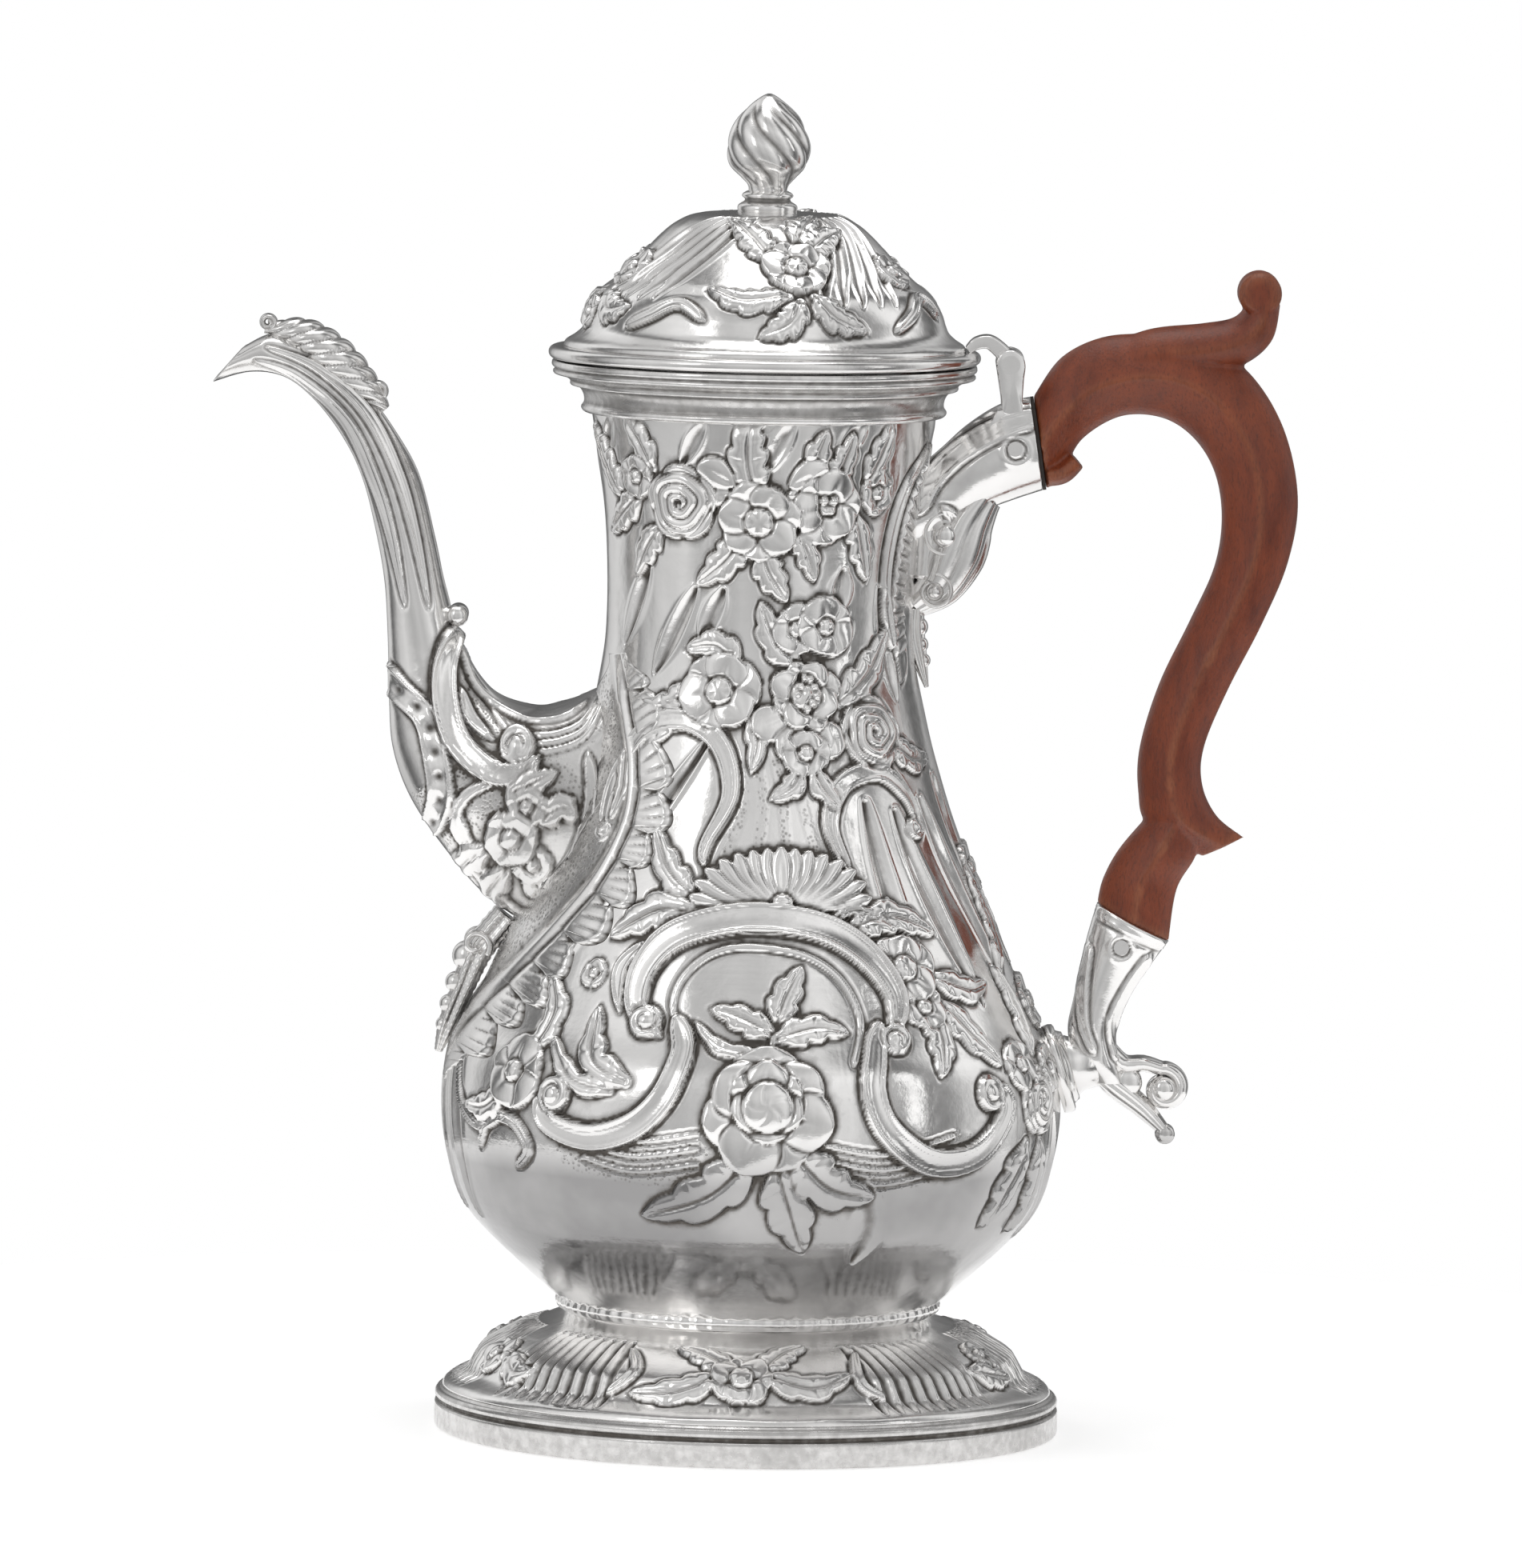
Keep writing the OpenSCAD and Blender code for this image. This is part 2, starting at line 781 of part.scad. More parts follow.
// Leaf of the lid: it rises from the flange and drops to the knuckle.
module hinge_leaf() {
    top = curve([
        [mouth_r - 2.7, dome_z],
        [mouth_r - 1.6, dome_z + 2.4],
        [mouth_r + 1.6, dome_z + 3.7],
        [mouth_r + 4.6, dome_z + 2.6],
        [hinge_x + 0.6, hinge_z + 2.8]
    ], 4);
    under = [
        [hinge_x - 2.8, hinge_z + 0.6],
        [mouth_r + 2, dome_z],
        [mouth_r - 0.4, dome_z]
    ];
    color("silver")
        translate([0, knuckle_width / 2, 0])
            rotate([90, 0, 0])
                difference() {
                    union() {
                        linear_extrude(knuckle_width)
                            polygon(concat(top, under));
                        translate([hinge_x, hinge_z, 0])
                            cylinder(r = knuckle_r, h = knuckle_width);
                    }
                    translate([hinge_x, hinge_z, -1])
                        cylinder(r = leaf_r, h = knuckle_width + 2);
                }
}

module lid_flange() {
    edge = [for (a = [-90:15:90])
        [mouth_r - flange_thick / 2 + flange_thick / 2 * cos(a),
         flange_z + flange_thick / 2 + flange_thick / 2 * sin(a)]];
    inner_r = bezel_r - wall;
    color("silver")
        rotate_extrude($fn = 96)
            polygon(concat(edge, [[inner_r, dome_z], [inner_r, flange_z]]));
}

module lid_bezel() {
    color("silver")
        rotate_extrude($fn = 96)
            translate([bezel_r - wall, flange_z - bezel_depth])
                square([wall, bezel_depth]);
}

stud_r = 1.6;
dome_line = curve([
    [mouth_r - 3, dome_z],
    [mouth_r - 6.2, 222 * tall],
    [mouth_r - 8.1, 226.4 * tall],
    [mouth_r - 10.4, 230 * tall],
    [mouth_r - 14.6, 233.6 * tall],
    [23.8 * wide, 238.6 * tall],
    [19 * wide, 243.6 * tall],
    [10 * wide, dome_top - 0.4],
    [stud_r + slip, dome_top]
], 3);

module lid_dome() {
    inside = beside(dome_line, wall);
    kept = [for (p = inside) if (p[1] > dome_z && p[0] > stud_r + slip) p];
    color("silver")
        rotate_extrude($fn = 96)
            polygon(concat(
                dome_line,
                [[stud_r + slip, dome_top - wall]], reversed(kept),
                [[mouth_r - 3 - wall, dome_z]]));
}

collar_z = 250.4 * tall;
module finial_collar() {
    side = curve([
        [5.8, dome_top - 1.6],
        [6, dome_top + 1],
        [4.6, dome_top + 2.2],
        [4.9, collar_z - 0.9],
        [4, collar_z]
    ], 3);
    color("silver")
        difference() {
            rotate_extrude()
                polygon(concat(
                    side, [[stud_r + slip, collar_z], [stud_r + slip, dome_top - 1.6]]));
            rotate_extrude($fn = 96)
                polygon(concat(dome_line, [[0, dome_top], [0, dome_z]]));
        }
}

// Spirally fluted bud on a stud that passes through the lid.
module finial() {
    flutes = 7;
    twist = 150;
    steps = 16;
    bud = curve([
        [3.9, 0],
        [4.6, 0.09],
        [7.8, 0.27],
        [8.5, 0.45],
        [7.2, 0.65],
        [4.6, 0.84],
        [0.9, 0.97],
        [0.3, 1]
    ], 3);
    color("silver") {
        rings_skin([for (b = bud) [for (k = [0:41])
            let (
                a = -360 * k / 42,
                swell = 1 + 0.07 * cos(flutes * (a + twist * b[1])) * min(1, b[0] / 6)
            )
            [b[0] * swell * cos(a), b[0] * swell * sin(a),
             collar_z + (pot_height - collar_z) * b[1]]]]);
        translate([0, 0, dome_top - 8])
            cylinder(r = stud_r, h = collar_z - dome_top + 9);
    }
}

module finial_nut() {
    side = 8;
    thick = 3;
    color("silver")
        translate([0, 0, dome_top - wall - thick - 0.7])
            difference() {
                translate([-side / 2, -side / 2, 0])
                    cube([side, side, thick]);
                translate([0, 0, -1])
                    cylinder(r = stud_r + slip, h = thick + 2);
            }
}

body_shell();
mouth_moulding();
foot();
foot_rim();
foot_collar();
spout();
spout_crest();
spout_scroll();
spout_collar();
spout_frill();
spout_drop();
handle();
cement_line();
upper_socket();
upper_socket_scroll();
upper_socket_drop();
upper_pin();
lower_socket();
lower_socket_boss();
lower_socket_scroll();
lower_pin();
hinge_bracket();
hinge_pin();
hinge_leaf();
lid_flange();
lid_bezel();
lid_dome();
finial_collar();
finial();
finial_nut();
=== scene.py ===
import bpy
import math
import numpy as np
from mathutils import Matrix, Vector


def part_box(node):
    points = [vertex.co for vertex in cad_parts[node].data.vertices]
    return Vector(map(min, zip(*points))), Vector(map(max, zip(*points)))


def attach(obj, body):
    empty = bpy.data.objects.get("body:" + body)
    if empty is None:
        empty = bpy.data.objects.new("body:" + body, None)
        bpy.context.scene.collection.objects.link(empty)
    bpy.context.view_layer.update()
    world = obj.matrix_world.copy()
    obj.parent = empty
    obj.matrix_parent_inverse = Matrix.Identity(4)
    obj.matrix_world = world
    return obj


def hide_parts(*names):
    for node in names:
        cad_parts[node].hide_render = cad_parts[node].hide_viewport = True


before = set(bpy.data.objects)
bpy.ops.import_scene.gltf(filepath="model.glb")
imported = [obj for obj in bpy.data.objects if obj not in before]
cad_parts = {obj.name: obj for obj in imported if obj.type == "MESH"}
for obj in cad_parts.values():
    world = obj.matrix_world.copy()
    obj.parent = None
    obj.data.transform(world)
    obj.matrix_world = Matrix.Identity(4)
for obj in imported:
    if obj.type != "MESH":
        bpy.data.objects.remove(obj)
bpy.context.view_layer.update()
fine = 1.0

# Shapes below are drawn in millimetres with the finial's tip at 270. MM is one of
# them in the frame's metres.
DRAWN_HEIGHT = 270.0
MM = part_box("finial")[1].z / DRAWN_HEIGHT


def spline(points, steps):
    """A smooth curve through rows of numbers, with steps between neighbours."""
    p = np.array(points, float)
    before = np.vstack([p[:1], p[:-1]])
    after = np.vstack([p[1:], p[-1:]])
    out = []
    for i in range(len(p) - 1):
        a, b, c, d = before[i], p[i], p[i + 1], after[i + 1]
        for t in np.arange(steps) / steps:
            out.append(b + t * (c - a) / 2 + t * t * (2 * a - 5 * b + 4 * c - d) / 2
                       + t ** 3 * (3 * b - a - 3 * c + d) / 2)
    out.append(p[-1])
    return np.array(out)


def evened(curve, gap):
    """The flat curve again, with its points an even gap apart."""
    step = np.linalg.norm(np.diff(curve, axis=0), axis=1)
    run = np.concatenate([[0], np.cumsum(step)])
    n = max(2, int(round(run[-1] / gap)) + 1)
    at = np.linspace(0, run[-1], n)
    return np.stack([np.interp(at, run, curve[:, k]) for k in range(curve.shape[1])], 1)


def spiral(centre, r0, r1, a0, a1, n=24):
    """A flat curve round a centre, from radius r0 at a0 degrees to r1 at a1."""
    t = np.linspace(0, 1, n)
    a = np.radians(a0 + (a1 - a0) * t)
    r = r0 + (r1 - r0) * t
    return np.stack([centre[0] + r * np.cos(a), centre[1] + r * np.sin(a)], 1)


def smooth(x):
    """An even step from 0 to 1 as x goes from 0 to 1."""
    x = np.clip(x, 0, 1)
    return x * x * (3 - 2 * x)


def bell(x):
    """A bump of height 1 round 0."""
    return np.exp(-x * x)


def around(count):
    """Evenly spaced angles of one full turn, in radians."""
    return np.arange(count) * 2 * np.pi / count


def left_of(line):
    """Unit normals on the left of a flat line."""
    tangent = np.gradient(line, axis=0)
    tangent /= np.linalg.norm(tangent, axis=1)[:, None] + 1e-9
    return np.stack([-tangent[:, 1], tangent[:, 0]], 1)


def mirrored(grid):
    """Columns of the front half, then the same ones back round the far side."""
    return np.hstack([grid, grid[:, ::-1]])


def turned(r, angle, z):
    """Points at radius r and height z, their angle counted from the camera's side."""
    r, angle, z = np.broadcast_arrays(r, angle, z)
    return np.stack([r * np.sin(angle), -r * np.cos(angle), z], -1)


# ---------------------------------------------------------------- meshes

def mesh_piece(name, verts, faces, fields, body, slot, replaces):
    """A finished piece from lists of quads and triangles; fields are values per point."""
    me = bpy.data.meshes.new(name)
    verts = np.asarray(verts, np.float32) * MM
    faces = [np.asarray(f, np.int32) for f in faces]
    loops = np.concatenate([f.ravel() for f in faces])
    sizes = np.concatenate([np.full(len(f), f.shape[1]) for f in faces])
    me.vertices.add(len(verts))
    me.vertices.foreach_set("co", verts.ravel())
    me.loops.add(len(loops))
    me.loops.foreach_set("vertex_index", loops)
    me.polygons.add(len(sizes))
    starts = np.concatenate([[0], np.cumsum(sizes)[:-1]]).astype(np.int32)
    me.polygons.foreach_set("loop_start", starts)
    me.polygons.foreach_set("loop_total", sizes.astype(np.int32))
    me.polygons.foreach_set("use_smooth", np.full(len(sizes), True))
    for key, values in fields.items():
        layer = me.attributes.new(key, "FLOAT", "POINT")
        layer.data.foreach_set("value", np.asarray(values, np.float32))
    me.update(calc_edges=True)
    me.validate()
    ob = bpy.data.objects.new(name, me)
    bpy.context.scene.collection.objects.link(ob)
    me.materials.append(LOOKS[slot])
    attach(ob, body)
    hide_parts(*replaces)
    return ob


def skin_volume(verts, quads, tris):
    """Volume in a closed skin; it is negative where the faces look inwards."""
    faces = np.vstack([quads[:, :3], quads[:, [0, 2, 3]], tris])
    a, b, c = (verts[faces[:, k]] for k in range(3))
    return (a * np.cross(b, c)).sum() / 6


class Solid:
    """Collects closed skins, then becomes one piece."""

    def __init__(self):
        self.verts, self.quads, self.tris = [], [], []
        self.recess, self.matt = [], []
        self.count = 0

    def add(self, verts, quads, tris=None, recess=None, matt=None):
        verts = np.asarray(verts, float).reshape(-1, 3)
        quads = np.asarray(quads, int).reshape(-1, 4)
        tris = np.asarray([] if tris is None else tris, int).reshape(-1, 3)
        if skin_volume(verts, quads, tris) < 0:
            quads, tris = quads[:, ::-1], tris[:, ::-1]
        self.verts.append(verts)
        self.quads.append(quads + self.count)
        if len(tris):
            self.tris.append(tris + self.count)
        for store, values in ((self.recess, recess), (self.matt, matt)):
            store.append(np.zeros(len(verts)) if values is None else np.ravel(values))
        self.count += len(verts)

    def rings(self, rings, recess=None, ring_closed=False, matt=None):
        """rings: (n, sides, 3). Ends are capped unless the row of rings closes."""
        rings = np.asarray(rings, float)
        n, sides = rings.shape[:2]
        i = np.arange(n if ring_closed else n - 1)[:, None]
        k = np.arange(sides)[None, :]
        a = (i * sides + k) % (n * sides)
        b = i * sides + (k + 1) % sides
        c = ((i + 1) % n) * sides + (k + 1) % sides
        d = ((i + 1) % n) * sides + k
        quads = np.stack([a, b, c, d], -1).reshape(-1, 4)
        verts = rings.reshape(-1, 3)
        tris = []
        if not ring_closed:
            verts = np.vstack([verts, rings[0].mean(0), rings[-1].mean(0)])
            k = np.arange(sides)
            first = np.full(sides, n * sides)
            start = (n - 1) * sides
            tris = np.vstack([
                np.stack([(k + 1) % sides, k, first], 1),
                np.stack([start + k, start + (k + 1) % sides, first + 1], 1)])
            if recess is not None:
                recess = np.concatenate([np.ravel(recess), [0, 0]])
            if matt is not None:
                matt = np.concatenate([np.ravel(matt), [0, 0]])
        self.add(verts, quads, tris, recess, matt)

    def slab(self, top, bottom, recess=None, matt=None):
        """A closed skin between two grids of the same shape."""
        n, m = top.shape[:2]
        i, k = np.meshgrid(np.arange(n - 1), np.arange(m - 1), indexing="ij")
        a = (i * m + k).ravel()
        up = np.stack([a, a + 1, a + m + 1, a + m], 1)
        down = up[:, ::-1] + n * m
        edge = np.concatenate([
            np.arange(m), np.arange(2 * m - 1, n * m, m),
            np.arange(n * m - 2, (n - 1) * m - 1, -1),
            np.arange((n - 2) * m, 0, -m)])
        nxt = np.roll(edge, -1)
        side = np.stack([nxt, edge, edge + n * m, nxt + n * m], 1)
        verts = np.vstack([top.reshape(-1, 3), bottom.reshape(-1, 3)])
        twice = [None if value is None else np.tile(np.ravel(value), 2) for value in (recess, matt)]
        self.add(verts, np.vstack([up, down, side]), None, *twice)

    def piece(self, name, body, replaces, slot="silver"):
        faces = [np.vstack(kind) for kind in (self.quads, self.tris) if kind]
        fields = {"recess": np.concatenate(self.recess), "matting": np.concatenate(self.matt)}
        return mesh_piece(name, np.vstack(self.verts), faces, fields, body, slot, replaces)


# ---------------------------------------------------------------- relief

def along(path, u, v):
    """Nearest place on a path: share of the way along, and offset to its left."""
    step = np.diff(path, axis=0)
    length = np.hypot(step[:, 0], step[:, 1]) + 1e-9
    run = np.concatenate([[0], np.cumsum(length)])
    best = np.full(u.shape, 1e9)
    share = np.zeros(u.shape)
    offset = np.zeros(u.shape)
    for i in range(len(step)):
        du, dv = u - path[i, 0], v - path[i, 1]
        k = np.clip((du * step[i, 0] + dv * step[i, 1]) / length[i] ** 2, 0, 1)
        side = (step[i, 0] * dv - step[i, 1] * du) / length[i]
        away = np.hypot(du - k * step[i, 0], dv - k * step[i, 1])
        near = away < best
        best = np.where(near, away, best)
        share = np.where(near, (run[i] + k * length[i]) / run[-1], share)
        offset = np.where(near, np.where(side < 0, -away, away), offset)
    return share, offset, run[-1]


class Field:
    """Relief heights in mm over a grid; each mark covers what is under it."""

    def __init__(self, shape):
        self.high = np.zeros(shape)
        self.matt = np.zeros(shape)

    def lay(self, part, depth, high, groove=0.3, soft=0.5):
        cover = smooth(depth / soft + 0.5)
        cut = groove * bell((depth + 0.3) / 0.4)
        self.high[part] = (1 - cover) * (self.high[part] - cut) + cover * high
        self.matt[part] *= 1 - cover

    def add(self, part, amount):
        self.high[part] += amount


class Turned(Field):
    """Relief on the front half of a turned surface. Places are (angle, z)."""

    def __init__(self, profile, gap, columns):
        line = evened(np.asarray(profile, float), gap)
        self.r, self.z = line[:, 0], line[:, 1]
        self.out = -left_of(line)
        self.run = np.concatenate([[0], np.cumsum(np.linalg.norm(np.diff(line, axis=0), axis=1))])
        self.angle = -90 + (np.arange(columns) + 0.5) * 180 / columns
        super().__init__((len(self.r), columns))

    def run_at(self, z):
        return np.interp(z, self.z, self.run)

    def finish(self, gap, rough, size, seed, start, end):
        """Soften, make uneven by hand, and fade out over (gap, length) at each end."""
        self.halve()
        self.high += rough * hand_noise(self.high.shape, gap, size, seed)
        rise = smooth((self.run - start[0]) / start[1])
        fall = smooth((self.run[-1] - end[0] - self.run) / end[1])
        self.high *= (rise * fall)[:, None]

    def halve(self):
        """Average pairs of rows and columns, which softens stepped edges."""
        rows, cols = len(self.r) // 2 * 2, len(self.angle) // 2 * 2
        for name in ("high", "matt"):
            grid = getattr(self, name)[:rows, :cols]
            grid = (grid[::2] + grid[1::2]) / 2
            setattr(self, name, (grid[:, ::2] + grid[:, 1::2]) / 2)
        self.angle = (self.angle[:cols:2] + self.angle[1:cols:2]) / 2
        for name in ("r", "z", "run"):
            line = getattr(self, name)
            pairs = (line[:rows:2] + line[1:rows:2]) / 2
            pairs[0], pairs[-1] = line[0], line[-1]
            setattr(self, name, pairs)
        self.out = self.out[:rows:2]

    def flat(self, points):
        """Places as mm on a sheet that touches the surface at their middle."""
        p = np.atleast_2d(np.asarray(points, float))
        centre = (p[:, 0].min() + p[:, 0].max()) / 2
        radius = np.interp(p[:, 1], self.z, self.r)
        return centre, np.stack([np.radians(p[:, 0] - centre) * radius, self.run_at(p[:, 1])], 1)

    def window(self, centre, path, reach):
        low, top = path[:, 1].min() - reach, path[:, 1].max() + reach
        rows = slice(*np.searchsorted(self.run, [low, top]))
        if rows.stop <= rows.start:
            return None
        radius = self.r[rows]
        spread = np.abs(path[:, 0]).max() + reach
        wide = np.degrees(spread / max(radius.min(), 5))
        cols = slice(*np.searchsorted(self.angle, [centre - wide, centre + wide]))
        u = np.radians(self.angle[None, cols] - centre) * radius[:, None]
        v = np.broadcast_to(self.run[rows][:, None], u.shape)
        return (rows, cols), u, v


class Side(Field):
    """Relief seen from the side. Places are (x, z)."""

    def __init__(self, low, high, gap):
        self.low = np.array(low, float)
        self.gap = gap
        size = ((np.array(high) - self.low) / gap).astype(int) + 1
        self.u = self.low[0] + np.arange(size[0]) * gap
        self.v = self.low[1] + np.arange(size[1]) * gap
        super().__init__((size[1], size[0]))

    def flat(self, points):
        return 0.0, np.atleast_2d(np.asarray(points, float))

    def window(self, centre, path, reach):
        low, top = path.min(0) - reach, path.max(0) + reach
        rows = slice(*np.searchsorted(self.v, [low[1], top[1]]))
        cols = slice(*np.searchsorted(self.u, [low[0], top[0]]))
        u, v = np.meshgrid(self.u[cols], self.v[rows])
        return (rows, cols), u, v

    def sample(self, x, z, grid):
        """The grid's values between its points, at places (x, z)."""
        i = np.clip((z - self.low[1]) / self.gap, 0, len(self.v) - 1.001)
        k = np.clip((x - self.low[0]) / self.gap, 0, len(self.u) - 1.001)
        i0, k0 = i.astype(int), k.astype(int)
        up, over = i - i0, k - k0
        low = grid[i0, k0] * (1 - over) + grid[i0, k0 + 1] * over
        top = grid[i0 + 1, k0] * (1 - over) + grid[i0 + 1, k0 + 1] * over
        return low * (1 - up) + top * up


def polar(field, at, reach, turn=0.0):
    """The window round a place, with each point's distance and angle from it."""
    centre, path = field.flat([at])
    part, u, v = field.window(centre, path, reach)
    u, v = u - path[0, 0], v - path[0, 1]
    return part, np.hypot(u, v), np.arctan2(v, u) - math.radians(turn)


def petal(field, at, length, width, turn, high):
    """One puffed petal reaching out from a point, with a shallow furrow."""
    part, rho, ang = polar(field, at, 1.1 * length + 1, turn)
    x, y = rho * np.cos(ang) / length, rho * np.sin(ang)
    rising = np.sin(np.pi / 2 * np.clip(x / 0.6, 0, 1)) ** 0.8
    rounding = np.sqrt(np.clip(1 - ((x - 0.6) / 0.4) ** 2, 0, 1))
    half = width / 2 * np.where(x < 0.6, rising, rounding) + 1e-3
    puff = np.sqrt(np.clip(1 - (y / half) ** 2, 0, 1))
    lift = high * (0.25 + 0.75 * puff * (0.45 + 0.55 * np.clip(x, 0, 1)))
    lift = lift - 0.16 * high * bell(y / 0.55) * smooth(1.3 - 1.4 * x) * smooth(4 * x)
    inside = np.minimum(half - np.abs(y), (1 - x) * length)
    field.lay(part, np.where(x > 0, inside, -1), lift, groove=0.22)


def flower(field, at, r, petals=6, turn=0, high=1.3, bud=0.3):
    """Puffed petals, every other one on top, round a seeded centre."""
    order = list(range(0, petals, 2)) + list(range(1, petals, 2))
    for k in order:
        reach = r * (1 + 0.06 * math.sin(2.3 * k + turn))
        wide = 2.3 * r * math.sin(math.pi / petals) * (1 + 0.08 * math.cos(1.7 * k))
        petal(field, at, reach, wide, turn + 360 * k / petals, high * (0.86 + 0.14 * (k % 2)))
    part, rho, ang = polar(field, at, r, turn)
    core = bud * r
    seeds = 0.09 * high * np.cos(6 * ang) * smooth(rho / core) * smooth(1.6 - rho / core)
    dome = np.sqrt(np.clip(1 - (rho / (1.12 * core)) ** 2, 0, 1))
    field.lay(part, core - rho, high * (0.55 + 0.62 * dome) + seeds, groove=0.35)


def rose(field, at, r, turn=0, high=1.5):
    """A domed rose: outer petals, then edges that wind in to a dark eye."""
    for k in range(5):
        petal(field, at, 1.12 * r, 1.25 * r, turn + 72 * k, 0.7 * high)
    part, rho, ang = polar(field, at, 1.2 * r, turn)
    edge = 0.88 * r * (1 + 0.05 * np.cos(3 * ang) + 0.03 * np.cos(5 * ang + 1))
    q = np.clip(rho / edge, 0, 1.3)
    step = (3.1 * q ** 0.85 - ang / (2 * np.pi)) % 1
    dome = np.sqrt(np.clip(1 - (0.86 * q) ** 2, 0, 1))
    wind = 0.28 * high * step - 0.34 * high * bell(np.minimum(step, 1 - step) / 0.2)
    eye = 0.6 * high * bell(rho / (0.13 * r))
    field.lay(part, edge - rho, high * (0.4 + 0.62 * dome) + wind - eye, groove=0.3)


def bent(field, points, extra):
    """The points' smooth line on the flat sheet, with the window round it."""
    centre, flat = field.flat(points)
    if len(flat) == 2:
        flat = np.array([flat[0], (flat[0] + flat[1]) / 2, flat[1]])
    path = evened(spline(flat, 8), 0.7)
    part, u, v = field.window(centre, path, extra)
    return part, path, u, v


def leaf(field, points, width, high=1.1, lobes=4):
    """A leaf from its stalk to its tip: two puffed halves with forward lobes."""
    part, path, u, v = bent(field, points, 1.3 * width + 1)
    t, n, length = along(path, u, v)
    away = np.abs(n)
    swell = np.sin(np.pi * np.clip(0.06 + 0.94 * t, 0, 1) ** 0.8) ** 0.7
    step = np.clip(lobes * t - 0.3 * lobes * away / length, 0, lobes) % 1
    half = np.maximum(1.2 * width * swell * (0.74 + 0.26 * np.sin(np.pi * step ** 1.6) ** 0.7), 0.03)
    q = np.clip(away / half, 0, 1.2)
    puff = high * (0.42 + 0.58 * np.sin(np.pi * np.clip(0.2 + 0.72 * q, 0, 1)))
    rib = 0.24 * high * bell(n / 0.5)
    vein = 0.13 * high * bell((step - 0.55) * length / lobes / 0.42) * smooth(2.5 * q)
    field.lay(part, half - away, puff * smooth(0.35 + 5 * t) - rib - vein, groove=0.25)


def band(field, points, width, high=1.3, tapered=0.35, rim=0.8):
    """A scroll: a smooth hollow between two raised rims."""
    part, path, u, v = bent(field, points, width + 1.5)
    t, n, length = along(path, u, v)
    half = width / 2 * (1 - tapered * np.abs(2 * t - 1) ** 2)
    to_end = np.clip(np.minimum(t, 1 - t) * length / (0.9 * width) + 0.02, 0, 1)
    half = half * np.sqrt(1 - (1 - to_end) ** 2)
    away = np.abs(n)
    line = np.maximum(half - rim, 0.25 * half)
    hollow = high * (0.58 + 0.2 * np.clip(away / line, 0, 1) ** 2)
    lip = 0.3 * high * smooth((away - line + 0.1) / 0.35)
    line_cut = 0.2 * high * bell((away - line) / 0.28)
    turned_down = 0.45 * high * smooth((away - half + 0.45) / 0.5)
    field.lay(part, half - away, hollow + lip - line_cut - turned_down, groove=0.25)


def volute(field, at, r, high=1.6, turn=0):
    """A curled end: an edge that winds in to a ball."""
    part, rho, ang = polar(field, at, r + 2, turn)
    q = np.clip(rho / r, 0, 1.2)
    step = (1.5 * q - ang / (2 * np.pi)) % 1
    seam = bell(np.minimum(step, 1 - step) / 0.17)
    coil = high * (0.62 + 0.3 * step - 0.34 * seam)
    knob = np.sqrt(np.clip(1 - (rho / (0.5 * r)) ** 2, 0, 1))
    lift = np.where(q < 0.45, high * (0.6 + 0.55 * knob), coil)
    field.lay(part, r - rho, lift, groove=0.3)


def ball(field, at, r, high=1.0):
    part, rho, _ = polar(field, at, r + 2)
    dome = high * np.sqrt(np.clip(1 - (rho / (1.12 * r)) ** 2, 0, 1))
    field.lay(part, r - rho, 0.2 + dome, groove=0.35)


def beads(field, points, r, gap, high=0.7):
    for place in evened(spline(np.array(points, float), 6), gap):
        ball(field, tuple(place), r, high)


def matting(field, points, width):
    """A strip of fine punched texture."""
    part, path, u, v = bent(field, points, width)
    _, n, _ = along(path, u, v)
    inside = smooth((width / 2 - np.abs(n)) / 0.8 + 0.5)
    field.matt[part] = np.maximum(field.matt[part], inside)


def flute(field, points, width, deep=0.9, rim=0.35):
    """A long tapered hollow with a raised lip along each side."""
    part, path, u, v = bent(field, points, width + 1)
    t, n, _ = along(path, u, v)
    half = width / 2 * np.sin(np.pi * np.clip(t * 0.9 + 0.07, 0, 1)) ** 0.6 + 0.05
    q = n / half
    field.add(part, rim * bell((np.abs(q) - 1.25) / 0.4) - deep * bell(q / 0.75) ** 1.2)


def comb(field, points, length, pitch, high=0.8):
    """A frill of short rounded tongues standing off to the left of a line."""
    part, path, u, v = bent(field, points, length + 1.5)
    t, n, run = along(path, u, v)
    tongue = np.abs(np.cos(np.pi * t * run / pitch))
    reach = length * (0.78 + 0.22 * tongue ** 0.5)
    depth = np.minimum(n, reach - n)
    lift = high * (0.35 + 0.7 * tongue ** 0.7) * (1 - 0.45 * smooth(n / reach))
    field.lay(part, depth, lift)


def rivet(field, at, r, seam):
    """A pin's end, filed flush: a fine cut round it and a low burr outside the cut."""
    part, rho, _ = polar(field, at, 5)
    field.add(part, 0.25 * bell((rho - r - 0.7) / 0.5) - 0.5 * bell((rho - r) / seam))


# ---------------------------------------------------------------- materials

